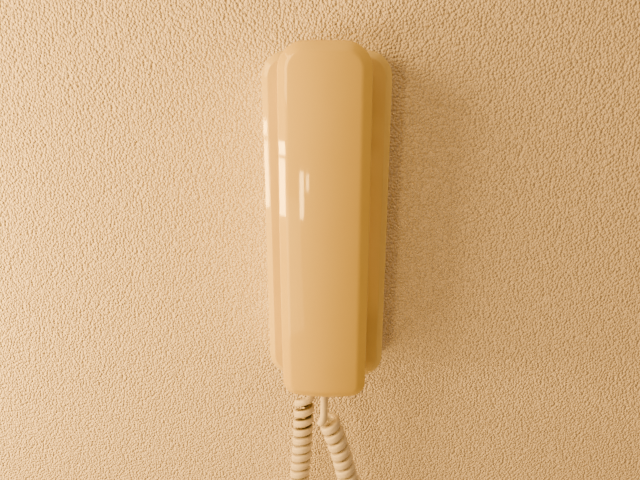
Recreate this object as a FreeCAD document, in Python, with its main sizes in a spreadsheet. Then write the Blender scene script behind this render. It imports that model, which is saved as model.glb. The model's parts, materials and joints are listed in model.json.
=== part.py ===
import FreeCAD, Part
import math
import os

import Sketcher
from FreeCAD import Placement, Rotation, Vector

# A wall-hung house telephone: a slim handset hangs on a tab of a slim wall base, and a curly cord loops
# below.
# Frame: X to the right, Y into the wall, Z up, in millimetres. The wall is the plane Y = 0, and the origin is
# the middle between the two wall screws. A depth is a distance from the wall, so it points along -Y.

# Driving dimensions: alias, value, meaning
SIZES = (
    ("base_width", 70, "wall base, across"),
    ("base_height", 195, "wall base, top to bottom"),
    ("base_depth", 24, "wall base, wall to front face"),
    ("base_corner", 14, "wall base, corner radius seen from the front"),
    ("base_bevel", 3.4, "wall base, bevel taken off the front face"),
    ("base_bevel_side", 2.2, "wall base, bevel taken off the sides"),
    ("case_wall", 2.2, "side walls of the base"),
    ("front_wall", 2, "front wall of the base"),
    ("cover_recess", 1.6, "rear cover, set in from the wall"),
    ("cover_sheet", 2, "rear cover, thickness"),
    ("cover_play", 0.25, "rear cover, play round its edge"),
    ("post_radius", 3, "screw posts, outside"),
    ("cover_screw_x", 8, "rear cover screws, from the base's sides"),
    ("cover_screw_z", 9, "rear cover screws, from the base's top and bottom"),
    ("screw_radius", 1.4, "small screws, shank"),
    ("screw_head_radius", 2.7, "small screws, head"),
    ("screw_head", 1.3, "small screws, head height"),
    ("screw_play", 0.15, "small screws, play in their holes"),
    ("screw_grip", 7, "small screws, depth of their holes in the posts"),
    ("screw_tip_gap", 1.5, "small screws, from the tip to the hole's end"),
    ("bracket_width", 48, "wall bracket, across"),
    ("bracket_height", 108, "wall bracket, top to bottom"),
    ("bracket_sheet", 1.2, "wall bracket, sheet thickness"),
    ("bracket_corner", 4, "wall bracket, corner radius"),
    ("wall_screw_spacing", 83.5, "wall screws, one above the other"),
    ("wall_screw_hole", 2.2, "wall screw hole, radius"),
    ("wall_screw_head", 5, "room for a wall screw's head, radius"),
    ("wire_window_width", 20, "opening for the house wires, across"),
    ("wire_window_height", 22, "opening for the house wires, top to bottom"),
    ("wire_window_z", -22, "opening for the house wires, middle"),
    ("hook_width", 8, "bracket hooks, across"),
    ("hook_inset", 17, "bracket hooks, to each side"),
    ("hook_pitch", 52, "bracket hooks, upper above lower pair"),
    ("hook_lip", 4, "bracket hooks, lip that stands up"),
    ("hook_play", 0.3, "bracket hooks, play in their slots"),
    ("board_width", 50, "circuit board, across"),
    ("board_height", 38, "circuit board, top to bottom"),
    ("board_z", -27, "circuit board, middle"),
    ("board_sheet", 1.6, "circuit board, thickness"),
    ("board_depth", 9.4, "circuit board, wall to its rear face"),
    ("board_screw_inset", 3.6, "circuit board screws, from its edges"),
    ("terminal_width", 18, "terminal block, across"),
    ("terminal_height", 9, "terminal block, top to bottom"),
    ("terminal_gap", 1.4, "terminal block, wall to its face"),
    ("terminal_count", 3, "terminals"),
    ("terminal_pitch", 5.4, "terminals, middle to middle"),
    ("terminal_screw", 1.7, "terminal screws, radius"),
    ("transformer_width", 14, "transformer core, across"),
    ("transformer_height", 12, "transformer core, top to bottom"),
    ("transformer_depth", 9, "transformer core, from the board"),
    ("transformer_x", -12, "transformer, to the side"),
    ("capacitor_radius", 3.2, "capacitors, radius"),
    ("capacitor_length", 9, "capacitors, from the board"),
    ("capacitor_x", 5, "first capacitor, to the side"),
    ("capacitor_pitch", 8, "capacitors, middle to middle"),
    ("speaker_radius", 18, "chime speaker, flange radius"),
    ("speaker_depth", 11, "chime speaker, front to back"),
    ("speaker_z", 15, "chime speaker, middle"),
    ("speaker_flange", 1.2, "chime speaker, flange thickness"),
    ("cone_sheet", 0.6, "chime speaker cone, thickness"),
    ("magnet_radius", 8.5, "chime speaker magnet, radius"),
    ("magnet_height", 4, "chime speaker magnet, thickness"),
    ("grille_slots", 6, "grille slots"),
    ("grille_width", 24, "grille slots, across"),
    ("grille_height", 1.8, "grille slots, top to bottom"),
    ("grille_pitch", 4, "grille slots, middle to middle"),
    ("volume_z", -24, "volume slider, middle of its rest place"),
    ("volume_depth", 15, "volume slider, wall to its middle"),
    ("volume_travel", 4, "volume slider, travel"),
    ("volume_knob", 5, "volume slider, knob along its travel"),
    ("volume_knob_depth", 3, "volume slider, knob across its travel"),
    ("volume_stands", 0.5, "volume slider, stands out of the side"),
    ("volume_play", 0.3, "volume slider, play in its slot"),
    ("handset_length", 199, "handset, top to bottom"),
    ("handset_overhang", 4.5, "handset, top above the base's top"),
    ("handset_top_width", 47.4, "handset, across its top"),
    ("handset_bottom_width", 48.6, "handset, across its bottom"),
    ("handset_corner", 14, "handset, radius of the upper corners seen from the front"),
    ("handset_foot_corner", 8, "handset, radius of the lower corners seen from the front"),
    ("handset_front", 54.6, "handset, wall to the highest point of its front"),
    ("handset_bevel_face", 4.8, "handset bevel, taken off the front"),
    ("handset_bevel_side", 2.4, "handset bevel, taken off the sides"),
    ("handset_wall", 2.2, "handset walls"),
    ("handset_split", 36, "handset, wall to the joint of its two halves"),
    ("handset_back", 4, "handset, from the joint of its halves to its grip's back"),
    ("handset_soft_edge", 2.4, "handset, rounding of the back's edge"),
    ("crown_radius", 75, "handset front, curve across"),
    ("arch_radius", 1100, "handset front, curve along"),
    ("cup_root", 20.5, "ear and mouth cups, radius at the grip's back"),
    ("cup_taper", 32, "ear and mouth cups, half angle"),
    ("cup_tip", 17, "ear and mouth cups, wall to their faces"),
    ("cup_wall", 1.8, "ear and mouth cups, wall"),
    ("cup_inset", 27, "ear and mouth cups, middle from the handset's ends"),
    ("cup_holes", 6, "sound holes in a ring"),
    ("cup_hole_radius", 0.9, "sound holes, radius"),
    ("ear_hole_ring", 4.5, "ear cup, ring of sound holes, radius"),
    ("mouth_hole_ring", 3, "mouth cup, ring of sound holes, radius"),
    ("well_play", 1, "wells in the base, clear of the cups"),
    ("well_floor_play", 1.5, "wells in the base, floor below the cups' faces"),
    ("lift_angle", 25, "handset, angle at which it lifts off its tab"),
    ("tab_width", 14, "hanger tab, across"),
    ("tab_sheet", 3, "hanger tab, thickness"),
    ("tab_reach", 14, "hanger tab, length in front of the base"),
    ("tab_z", 32, "hanger tab, where it leaves the base, below the middle of the ear cup"),
    ("tab_play", 0.3, "hanger tab, play in the handset's slot"),
    ("plunger_radius", 2, "hook plunger, stem radius"),
    ("plunger_flange", 3.6, "hook plunger, flange radius"),
    ("plunger_flange_sheet", 1, "hook plunger, flange thickness"),
    ("plunger_travel", 3, "hook plunger, travel"),
    ("plunger_offset", 8, "hook plunger, below the middle of the ear well"),
    ("plunger_play", 0.3, "hook plunger, play"),
    ("hook_switch_width", 13, "hook switch, across"),
    ("hook_switch_height", 9, "hook switch, top to bottom"),
    ("hook_switch_depth", 3.2, "hook switch, from the rear cover"),
    ("spring_radius", 2.7, "hook spring, radius to the middle of its wire"),
    ("spring_wire", 0.25, "hook spring, wire radius"),
    ("spring_turns", 2, "hook spring, turns"),
    ("receiver_radius", 13.8, "receiver capsule, radius"),
    ("receiver_depth", 5.4, "receiver capsule, thickness"),
    ("receiver_seat", 6, "receiver capsule, from the grip's back to its front"),
    ("gasket_sheet", 1.2, "receiver gasket, thickness"),
    ("gasket_bore", 11, "receiver gasket, bore radius"),
    ("microphone_radius", 4.8, "microphone capsule, radius"),
    ("microphone_depth", 5, "microphone capsule, thickness"),
    ("microphone_boot_depth", 6.5, "microphone boot, thickness"),
    ("seat_play", 0.1, "inner pieces, play at their seats"),
    ("handset_screw_z", 28, "handset screws, above and below the middle of the grip"),
    ("grommet_bore", 2.5, "cord grommets, bore radius"),
    ("grommet_neck", 3.4, "cord grommets, neck radius"),
    ("grommet_flange", 4.2, "cord grommets, inner flange radius"),
    ("grommet_flange_sheet", 1.5, "cord grommets, inner flange thickness"),
    ("grommet_lip", 0.8, "cord grommets, lip outside"),
    ("grommet_play", 0.1, "cord grommets, play in the wall"),
    ("base_cord_x", -10.2, "cord, where it leaves the base, to the side"),
    ("base_cord_depth", 12, "cord, where it leaves the base, from the wall"),
    ("handset_cord_depth", 4.2, "cord, where it leaves the handset, from the joint of its halves"),
    ("cord_radius", 2.4, "cord, radius of the round lead"),
    ("curl_radius", 4.8, "curls, radius to the middle of the lead"),
    ("curl_pitch", 6.8, "curls, middle to middle"),
    ("cord_end_gap", 0.3, "cord, from the handset grommet's face"),
    ("cord_end_run", 12, "cord, straight run below each grommet"),
    ("wire_radius", 0.7, "inner leads, radius"),
)

# The middle line of the curls, from below the base round to below the handset. The third number is how far a
# point hangs below the lower of the two bottoms.
CURL_ROUTE = (
    (-15.0, -16.3, 20.5),
    (-15.0, -16.3, 34.5),
    (-16.0, -16.0, 57.5),
    (-17.5, -16.0, 82.5),
    (-21.5, -16.6, 112.5),
    (-26.5, -18.5, 138.5),
    (-18.5, -22.0, 161.5),
    (3.0, -26.0, 171.0),
    (24.5, -30.5, 161.5),
    (31.5, -33.5, 137.5),
    (27.0, -35.5, 112.5),
    (20.0, -36.2, 85.5),
    (14.0, -36.2, 62.5),
    (10.4, -36.2, 46.5),
    (5.8, -36.0, 33.0),
    (2.5, -35.8, 23.5),
)

FULL_TURN = 360
CROWN_SWING = 30
LEAST_CURL_GAP = 0.4
SPANS_PER_TURN = 4

doc = FreeCAD.newDocument("WallHandset")
sheet = doc.addObject("Spreadsheet::Sheet", "Sizes")
for row, (alias, number, meaning) in enumerate(SIZES, start=1):
    sheet.set(f"A{row}", meaning)
    sheet.set(f"B{row}", str(number))
    sheet.setAlias(f"B{row}", alias)
doc.recompute()


class Size:
    """A size of the sheet, or one worked out from several, with the expression that gives it."""

    def __init__(self, number, text):
        self.number = float(number)
        self.text = text

    def __add__(self, other):
        other = sized(other)
        return Size(self.number + other.number, f"({self.text} + {other.text})")

    def __sub__(self, other):
        other = sized(other)
        return Size(self.number - other.number, f"({self.text} - {other.text})")

    def __mul__(self, other):
        other = sized(other)
        return Size(self.number * other.number, f"({self.text} * {other.text})")

    def __truediv__(self, other):
        other = sized(other)
        return Size(self.number / other.number, f"({self.text} / {other.text})")

    def __radd__(self, other):
        return sized(other) + self

    def __rsub__(self, other):
        return sized(other) - self

    def __rmul__(self, other):
        return sized(other) * self

    def __neg__(self):
        return sized(0) - self


def sized(other):
    """A plain number as a size."""
    return other if isinstance(other, Size) else Size(other, repr(float(other)))


def cell(alias):
    """The size that a cell of the sheet holds."""
    return Size(sheet.get(alias), f"Sizes.{alias}")


def tan(angle):
    return Size(math.tan(math.radians(angle.number)), f"tan({angle.text})")


def cos(angle):
    return Size(math.cos(math.radians(angle.number)), f"cos({angle.text})")


def larger(one, other):
    return Size(max(one.number, other.number), f"max({one.text}; {other.text})")


def bind(thing, name, size):
    """Set a property from a size and keep it bound to the sheet."""
    size = sized(size)
    thing.setExpression(name, size.text)


# Sketches and features of a body


def new_body(label):
    body = doc.addObject("PartDesign::Body", label)
    body.Label = label
    return body


def origin_feature(body, role):
    return next(found for found in body.Origin.OriginFeatures if found.Role == role)


def sketch(body, name, depth=0, plane="XZ_Plane"):
    """A sketch on an origin plane of the body, moved along its normal: on XZ_Plane, away from the wall."""
    made = body.newObject("Sketcher::SketchObject", f"{body.Label}_{name}")
    made.AttachmentSupport = [(origin_feature(body, plane), "")]
    made.MapMode = "FlatFace"
    depth = sized(depth)
    made.AttachmentOffset = Placement(Vector(0, 0, depth.number), Rotation())
    bind(made, "AttachmentOffset.Base.z", depth)
    return made


def fix_point(drawing, line, end, across, along):
    """Hold an end of a line, or a circle's centre, at its place from the origin."""
    for kind, size in (("DistanceX", sized(across)), ("DistanceY", sized(along))):
        index = drawing.addConstraint(Sketcher.Constraint(kind, -1, 1, line, end, size.number))
        bind(drawing, f"Constraints[{index}]", size)


def polygon(drawing, corners):
    """A closed outline of straight lines. Gives its corners back."""
    corners = [(sized(across), sized(along)) for across, along in corners]
    points = [Vector(across.number, along.number, 0) for across, along in corners]
    first = drawing.GeometryCount
    count = len(points)
    for here in range(count):
        drawing.addGeometry(Part.LineSegment(points[here], points[(here + 1) % count]), False)
    for here in range(count):
        after = first + (here + 1) % count
        drawing.addConstraint(Sketcher.Constraint("Coincident", first + here, 2, after, 1))
    for here, (across, along) in enumerate(corners):
        fix_point(drawing, first + here, 1, across, along)
    return corners


def rectangle(drawing, across, along, width, height):
    """A rectangle about a middle point."""
    across, along = sized(across), sized(along)
    half_width, half_height = sized(width) / 2, sized(height) / 2
    left, right = across - half_width, across + half_width
    bottom, top = along - half_height, along + half_height
    return polygon(drawing, [(left, bottom), (right, bottom), (right, top), (left, top)])


def circle(drawing, across, along, radius):
    across, along, radius = sized(across), sized(along), sized(radius)
    centre = Vector(across.number, along.number, 0)
    index = drawing.addGeometry(Part.Circle(centre, Vector(0, 0, 1), radius.number), False)
    fix_point(drawing, index, 3, across, along)
    held = drawing.addConstraint(Sketcher.Constraint("Radius", index, radius.number))
    bind(drawing, f"Constraints[{held}]", radius)


def axis_line(drawing, along):
    """A construction line across the sketch, to turn a profile about."""
    along = sized(along)
    ends = Vector(-1, along.number, 0), Vector(1, along.number, 0)
    index = drawing.addGeometry(Part.LineSegment(*ends), True)
    fix_point(drawing, index, 1, -1, along)
    fix_point(drawing, index, 2, 1, along)


def volume(body):
    return body.Shape.Volume if not body.Shape.isNull() else 0.0


def add_feature(body, kind, drawing, **settings):
    """A sketched feature, bound to its sizes. It has to change the body's volume."""
    before = volume(body)
    made = body.newObject(f"PartDesign::{kind}", f"{drawing.Name}_{kind}")
    made.Profile = drawing
    for name, setting in settings.items():
        if isinstance(setting, Size):
            bind(made, name, setting)
        else:
            setattr(made, name, setting)
    doc.recompute()
    if "Invalid" in made.State or abs(volume(body) - before) < 1e-6:
        raise RuntimeError(f"{made.Name} fails: {made.State}")
    return made


def pad(body, drawing, length, **settings):
    return add_feature(body, "Pad", drawing, Length=sized(length), **settings)


def pocket(body, drawing, length, **settings):
    return add_feature(body, "Pocket", drawing, Length=sized(length), **settings)


def turned(body, drawing, kind="Revolution", axis="Axis0"):
    """A revolution or a groove about a line of its sketch."""
    return add_feature(body, kind, drawing, ReferenceAxis=(drawing, [axis]), Angle=sized(FULL_TURN))


def dress(body, kind, wanted, **settings):
    """A fillet or chamfer on the edges that a test picks."""
    base = body.Tip
    names = [f"Edge{index}" for index, edge in enumerate(base.Shape.Edges, start=1) if wanted(edge)]
    made = body.newObject(f"PartDesign::{kind}", f"{body.Label}_{kind}")
    made.Base = (base, names)
    for name, setting in settings.items():
        if isinstance(setting, Size):
            bind(made, name, setting)
        else:
            setattr(made, name, setting)
    before = volume(body)
    doc.recompute()
    if not names or "Invalid" in made.State or abs(volume(body) - before) < 1e-6:
        raise RuntimeError(f"{made.Name} on {len(names)} edges fails: {made.State}")
    return made


def runs_along(edge, direction):
    """Whether an edge is a straight line along a direction."""
    if not isinstance(edge.Curve, (Part.Line, Part.LineSegment)):
        return False
    return abs(abs(edge.tangentAt(edge.FirstParameter).dot(direction)) - 1) < 1e-6


def lies_at_depth(edge, depth):
    """Whether all of an edge lies at one distance from the wall."""
    box = edge.BoundBox
    return abs(box.YMin + depth.number) < 1e-4 and abs(box.YMax + depth.number) < 1e-4


def round_corners(body, corners, radius):
    """Round the edges that run away from the wall at the corners of an outline."""

    def wanted(edge):
        if not runs_along(edge, Vector(0, 1, 0)):
            return False
        spot = edge.CenterOfMass
        return any(math.hypot(spot.x - x.number, spot.z - z.number) < 1e-4 for x, z in corners)

    return dress(body, "Fillet", wanted, Radius=radius)


def cut_out(body, form):
    """Cut another body's form out of a body."""
    before = volume(body)
    made = body.newObject("PartDesign::Boolean", f"{form.Label}_cut")
    made.Type = "Cut"
    made.setObjects([form])
    doc.recompute()
    if "Invalid" in made.State or abs(volume(body) - before) < 1e-6:
        raise RuntimeError(f"{made.Name} fails: {made.State}")


def place(body, across, depth, height):
    """Move a body that was drawn about its own middle."""
    for name, size in (("x", across), ("y", -sized(depth)), ("z", height)):
        bind(body, f"Placement.Base.{name}", size)
    doc.recompute()


# Sizes that several pieces share

base_width, base_height, base_depth = cell("base_width"), cell("base_height"), cell("base_depth")
case_wall, front_wall = cell("case_wall"), cell("front_wall")
case_inside = base_depth - front_wall
cover_back = cell("cover_recess")
cover_front = cover_back + cell("cover_sheet")
cover_screws = [
    (side * (base_width / 2 - cell("cover_screw_x")), end * (base_height / 2 - cell("cover_screw_z")))
    for side in (-1, 1)
    for end in (-1, 1)
]
screw_hole = cell("screw_radius") + cell("screw_play")
wall_screw_places = [(0, end * cell("wall_screw_spacing") / 2) for end in (-1, 1)]
hook_places = [
    (side * cell("hook_inset"), end * cell("hook_pitch") / 2) for side in (-1, 1) for end in (-1, 1)
]
lip_depth = cover_front + cell("hook_play")
board_back = cell("board_depth")
board_front = board_back + cell("board_sheet")
board_screws = [
    (
        side * (cell("board_width") / 2 - cell("board_screw_inset")),
        cell("board_z") + end * (cell("board_height") / 2 - cell("board_screw_inset")),
    )
    for side in (-1, 1)
    for end in (-1, 1)
]
handset_top = base_height / 2 + cell("handset_overhang")
handset_bottom = handset_top - cell("handset_length")
handset_middle = (handset_top + handset_bottom) / 2
handset_split = cell("handset_split")
handset_back = handset_split - cell("handset_back")
handset_wall = cell("handset_wall")
handset_cord = handset_split + cell("handset_cord_depth")
inner_floor = handset_back + handset_wall
handset_screws = [(0, handset_middle + end * cell("handset_screw_z")) for end in (-1, 1)]
ear_z = handset_top - cell("cup_inset")
mouth_z = larger(handset_bottom, -base_height / 2) + cell("cup_inset")
cup_slope = tan(cell("cup_taper"))
cup_tip = cell("cup_tip")
well_floor = cup_tip - cell("well_floor_play")
well_back = well_floor - front_wall
plunger_z = ear_z - cell("plunger_offset")
lift = cell("lift_angle")


def cup_radius(depth):
    """The outside radius of a cup at a distance from the wall."""
    return cell("cup_root") + (sized(depth) - handset_back) * cup_slope


def cup_bore(depth):
    """The inside radius of a cup at a distance from the wall."""
    return cup_radius(depth) - cell("cup_wall") / cos(cell("cup_taper"))


def well_radius(depth):
    """The radius of a well in the base at a distance from the wall."""
    return cup_radius(depth) + cell("well_play") / cos(cell("cup_taper"))


def well_outside(depth):
    """The radius of a well's wall, inside the base."""
    return well_radius(depth) + front_wall


def tab_height(depth):
    """The middle height of the hanger tab at a distance from the wall."""
    return ear_z - cell("tab_z") + (sized(depth) - base_depth) * tan(lift)


def cone_profile(body, name, middle_z, near, far, radius):
    """A sketch on the middle plane of a cone's half section about an axis that points at the wall."""
    drawing = sketch(body, name, plane="YZ_Plane")
    axis_line(drawing, middle_z)
    near_top, far_top = middle_z + radius(near), middle_z + radius(far)
    polygon(drawing, [(-near, middle_z), (-far, middle_z), (-far, far_top), (-near, near_top)])
    return drawing


def screws(label, places, seat, length):
    """Round-headed screws driven from the wall's side, with their heads' flats on a seat."""
    body = new_body(label)
    heads = sketch(body, "heads", seat - cell("screw_head"))
    for across, along in places:
        circle(heads, across, along, cell("screw_head_radius"))
    pad(body, heads, cell("screw_head"))
    shanks = sketch(body, "shanks", seat)
    for across, along in places:
        circle(shanks, across, along, cell("screw_radius"))
    pad(body, shanks, length)
    rim = seat - cell("screw_head")
    dress(body, "Fillet", lambda edge: lies_at_depth(edge, rim), Radius=cell("screw_head") / 2)
    return body


# Wall side of the base


def wall_bracket():
    body = new_body("wall_bracket")
    sheet_depth = cell("bracket_sheet")
    plate = sketch(body, "plate")
    corners = rectangle(plate, 0, 0, cell("bracket_width"), cell("bracket_height"))
    for across, along in wall_screw_places:
        circle(plate, across, along, cell("wall_screw_hole"))
    rectangle(plate, 0, cell("wire_window_z"), cell("wire_window_width"), cell("wire_window_height"))
    lance = cell("hook_lip") + lip_depth
    for across, along in hook_places:
        rectangle(plate, across, along + sheet_depth / 2 + lance / 2, cell("hook_width"), lance)
    pad(body, plate, sheet_depth)
    round_corners(body, corners, cell("bracket_corner"))
    shanks = sketch(body, "shanks")
    for across, along in hook_places:
        rectangle(shanks, across, along, cell("hook_width"), sheet_depth)
    pad(body, shanks, lip_depth + sheet_depth)
    lips = sketch(body, "lips", lip_depth)
    lip_height = cell("hook_lip") + sheet_depth
    for across, along in hook_places:
        rectangle(lips, across, along + cell("hook_lip") / 2, cell("hook_width"), lip_height)
    pad(body, lips, sheet_depth)
    return body


def base_rear_cover():
    body = new_body("base_rear_cover")
    inset = 2 * (case_wall + cell("cover_play"))
    plate = sketch(body, "plate", cover_back)
    corners = rectangle(plate, 0, 0, base_width - inset, base_height - inset)
    for across, along in cover_screws:
        circle(plate, across, along, screw_hole)
    for across, along in wall_screw_places:
        circle(plate, across, along, cell("wall_screw_head"))
    rectangle(plate, 0, cell("wire_window_z"), cell("wire_window_width"), cell("wire_window_height"))
    # A hook enters low in its slot, and the base then drops until the slot's top meets the hook
    sheet_depth = cell("bracket_sheet")
    slot_height = cell("hook_lip") + 2 * sheet_depth + cell("hook_play")
    for across, along in hook_places:
        slot_top = along + sheet_depth / 2 + cell("hook_play")
        slot_width = cell("hook_width") + 2 * cell("hook_play")
        rectangle(plate, across, slot_top - slot_height / 2, slot_width, slot_height)
    pad(body, plate, cell("cover_sheet"))
    round_corners(body, corners, cell("base_corner") - case_wall - cell("cover_play"))
    return body


def base_front_case():
    body = new_body("base_front_case")
    outline = sketch(body, "outline")
    corners = rectangle(outline, 0, 0, base_width, base_height)
    pad(body, outline, base_depth)
    round_corners(body, corners, cell("base_corner"))
    dress(
        body,
        "Chamfer",
        lambda edge: lies_at_depth(edge, base_depth),
        ChamferType="Two distances",
        Size=cell("base_bevel_side"),
        Size2=cell("base_bevel"),
    )
    hollow = new_body("base_hollow")
    inside = sketch(hollow, "outline")
    corners = rectangle(inside, 0, 0, base_width - 2 * case_wall, base_height - 2 * case_wall)
    pad(hollow, inside, case_inside)
    round_corners(hollow, corners, cell("base_corner") - case_wall)
    cut_out(body, hollow)
    posts(body)
    for name, middle in (("ear", ear_z), ("mouth", mouth_z)):
        wall = cone_profile(body, f"{name}_well_wall", middle, well_back, case_inside, well_outside)
        turned(body, wall)
        well = cone_profile(body, f"{name}_well", middle, well_floor, base_depth, well_radius)
        turned(body, well, "Groove")
    case_openings(body)
    hanger_tab(body)
    return body


def posts(body):
    """Screw posts behind the front wall, each with its hole."""
    groups = (("cover_posts", cover_screws, cover_front), ("board_posts", board_screws, board_front))
    for name, places, end in groups:
        drawing = sketch(body, name, end)
        for across, along in places:
            circle(drawing, across, along, cell("post_radius"))
        pad(body, drawing, case_inside - end)
        holes = sketch(body, f"{name}_holes", end)
        for across, along in places:
            circle(holes, across, along, screw_hole)
        pocket(body, holes, cell("screw_grip"), Reversed=True)


def case_openings(body):
    """The grille, the plunger's guide, the cord's hole and the volume slider's slot."""
    grille = sketch(body, "grille", case_inside)
    first = cell("speaker_z") - (cell("grille_slots") - 1) * cell("grille_pitch") / 2
    rectangle(grille, 0, first, cell("grille_width"), cell("grille_height"))
    slot = pocket(body, grille, front_wall, Reversed=True)
    rows = body.newObject("PartDesign::LinearPattern", "grille_rows")
    rows.Originals = [slot]
    rows.Direction = (origin_feature(body, "Z_Axis"), [""])
    rows.Mode = "Spacing"
    bind(rows, "Offset", cell("grille_pitch"))
    bind(rows, "Occurrences", cell("grille_slots"))
    body.Tip = rows
    doc.recompute()
    guide = sketch(body, "plunger_guide", well_back)
    circle(guide, 0, plunger_z, cell("plunger_radius") + cell("plunger_play"))
    pocket(body, guide, front_wall, Reversed=True)
    cord_hole = sketch(body, "cord_hole", -base_height / 2, "XY_Plane")
    neck = cell("grommet_neck") + cell("grommet_play")
    circle(cord_hole, cell("base_cord_x"), -cell("base_cord_depth"), neck)
    pocket(body, cord_hole, case_wall, Reversed=True)
    slider_slot = sketch(body, "volume_slot", base_width / 2, "YZ_Plane")
    height = cell("volume_knob") + cell("volume_travel") + 2 * cell("volume_play")
    middle = cell("volume_z") + cell("volume_travel") / 2
    depth = cell("volume_knob_depth") + 2 * cell("volume_play")
    rectangle(slider_slot, -cell("volume_depth"), middle, depth, height)
    pocket(body, slider_slot, case_wall)


def hanger_tab(body):
    """The tab that the handset hangs on. It slopes the way the handset lifts off."""
    drawing = sketch(body, "tab", plane="YZ_Plane")
    near, far = case_inside, base_depth + cell("tab_reach") * cos(lift)
    half = cell("tab_sheet") / cos(lift) / 2
    polygon(
        drawing,
        [
            (-near, tab_height(near) - half),
            (-far, tab_height(far) - half),
            (-far, tab_height(far) + half),
            (-near, tab_height(near) + half),
        ],
    )
    pad(body, drawing, cell("tab_width"), Midplane=True)
    tip = far.number - 1
    dress(
        body,
        "Fillet",
        lambda edge: runs_along(edge, Vector(1, 0, 0)) and edge.BoundBox.YMax < -tip,
        Radius=cell("tab_sheet") / 3,
    )


# Inside the base


def circuit_board():
    body = new_body("circuit_board")
    plate = sketch(body, "plate", board_back)
    rectangle(plate, 0, cell("board_z"), cell("board_width"), cell("board_height"))
    for across, along in board_screws:
        circle(plate, across, along, screw_hole)
    pad(body, plate, cell("board_sheet"))
    return body


def terminals():
    """The places of the terminals along the block."""
    middle = (cell("terminal_count").number - 1) / 2
    count = int(cell("terminal_count").number)
    return [((index - middle) * cell("terminal_pitch"), cell("wire_window_z")) for index in range(count)]


def terminal_block():
    body = new_body("terminal_block")
    front = cell("terminal_gap")
    block = sketch(body, "block", front)
    rectangle(block, 0, cell("wire_window_z"), cell("terminal_width"), cell("terminal_height"))
    pad(body, block, board_back - front)
    wells = sketch(body, "screw_wells", front)
    for across, along in terminals():
        circle(wells, across, along, cell("terminal_screw") + cell("screw_play"))
    pocket(body, wells, (board_back - front) / 2, Reversed=True)
    entries = sketch(body, "wire_entries", cell("wire_window_z") - cell("terminal_height") / 2, "XY_Plane")
    middle, thick = -(front + board_back) / 2, board_back - front
    for across, _ in terminals():
        rectangle(entries, across, middle, cell("terminal_pitch") / 2, thick / 3)
    pocket(body, entries, cell("terminal_height") / 3, Reversed=True)
    return body


def terminal_screws():
    body = new_body("terminal_screws")
    front = cell("terminal_gap")
    drawing = sketch(body, "heads", front + cell("screw_play"))
    for across, along in terminals():
        circle(drawing, across, along, cell("terminal_screw"))
    pad(body, drawing, (board_back - front) / 2 - cell("screw_play"))
    slots = sketch(body, "slots", front + cell("screw_play"))
    for across, along in terminals():
        rectangle(slots, across, along, cell("terminal_screw") * 3, cell("terminal_screw") / 3)
    pocket(body, slots, cell("terminal_screw") / 3, Reversed=True)
    return body


def line_transformer():
    body = new_body("line_transformer")
    across, along = cell("transformer_x"), cell("board_z")
    width, height, depth = (cell(f"transformer_{side}") for side in ("width", "height", "depth"))
    core = sketch(body, "core", board_front)
    rectangle(core, across, along, width, height)
    pad(body, core, depth)
    windows = sketch(body, "windows", along + height / 2, "XY_Plane")
    for side in (-1, 1):
        rectangle(windows, across + side * width / 4, -(board_front + depth / 2), width / 6, depth / 2)
    pocket(body, windows, height)
    winding = sketch(body, "winding", along, "XY_Plane")
    rectangle(winding, across, -(board_front + depth / 2), width * 2 / 3, depth / 2)
    pad(body, winding, height * 5 / 4, Midplane=True)
    return body


def capacitors():
    body = new_body("capacitors")
    drawing = sketch(body, "cans", board_front)
    for index in range(2):
        across = cell("capacitor_x") + index * cell("capacitor_pitch")
        circle(drawing, across, cell("board_z"), cell("capacitor_radius"))
    pad(body, drawing, cell("capacitor_length"))
    rim = board_front + cell("capacitor_length")
    dress(body, "Fillet", lambda edge: lies_at_depth(edge, rim), Radius=cell("capacitor_radius") / 5)
    return body


def profile_body(label, across, depth, height, corners):
    """A turned piece about an axis that points at the wall. Corners are (radius, way towards the room)."""
    body = new_body(label)
    drawing = sketch(body, "profile", plane="XY_Plane")
    polygon(drawing, [(radius, -sized(reach)) for radius, reach in corners])
    turned(body, drawing, axis="V_Axis")
    place(body, across, depth, height)
    return body


speaker_back = case_inside - cell("speaker_depth")


def basket_bore(reach):
    """The inside radius of the speaker's basket, and the slope of its wall, from its floor to its rim."""
    flange = cell("speaker_flange")
    low, high = cell("magnet_height") + flange, cell("speaker_depth")
    narrow, wide = cell("magnet_radius") + flange / 2, cell("speaker_radius") - 3 * flange
    return narrow + (sized(reach) - low) * (wide - narrow) / (high - low)


def chime_speaker_frame():
    """A steel basket: its flange lies on the front wall, and its floor carries the magnet."""
    rim, depth, flange = cell("speaker_radius"), cell("speaker_depth"), cell("speaker_flange")
    floor = cell("magnet_height")
    throat = cell("magnet_radius") / 2
    return profile_body(
        "chime_speaker_frame",
        0,
        speaker_back,
        cell("speaker_z"),
        [
            (throat, floor),
            (basket_bore(floor + flange) + flange / 2, floor),
            (basket_bore(depth) + flange, depth - flange),
            (rim, depth - flange),
            (rim, depth),
            (basket_bore(depth), depth),
            (basket_bore(floor + flange), floor + flange),
            (throat, floor + flange),
        ],
    )


def chime_speaker_magnet():
    radius, height = cell("magnet_radius"), cell("magnet_height")
    corners = [(0, 0), (radius, 0), (radius, height), (0, height)]
    return profile_body("chime_speaker_magnet", 0, speaker_back, cell("speaker_z"), corners)


def chime_speaker_cone():
    """The paper cone with its dust cap, glued inside the basket's rim."""
    flange, paper = cell("speaker_flange"), cell("cone_sheet")
    front = cell("speaker_depth") - flange / 2
    edge = basket_bore(front - paper) - cell("seat_play")
    throat = cell("magnet_radius") / 2
    deep = (cell("magnet_height") + flange + front) / 2
    corners = [
        (0, deep + flange),
        (throat, deep),
        (edge, front - paper),
        (edge, front),
        (throat, deep + paper),
        (0, deep + flange + paper),
    ]
    return profile_body("chime_speaker_cone", 0, speaker_back, cell("speaker_z"), corners)


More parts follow.
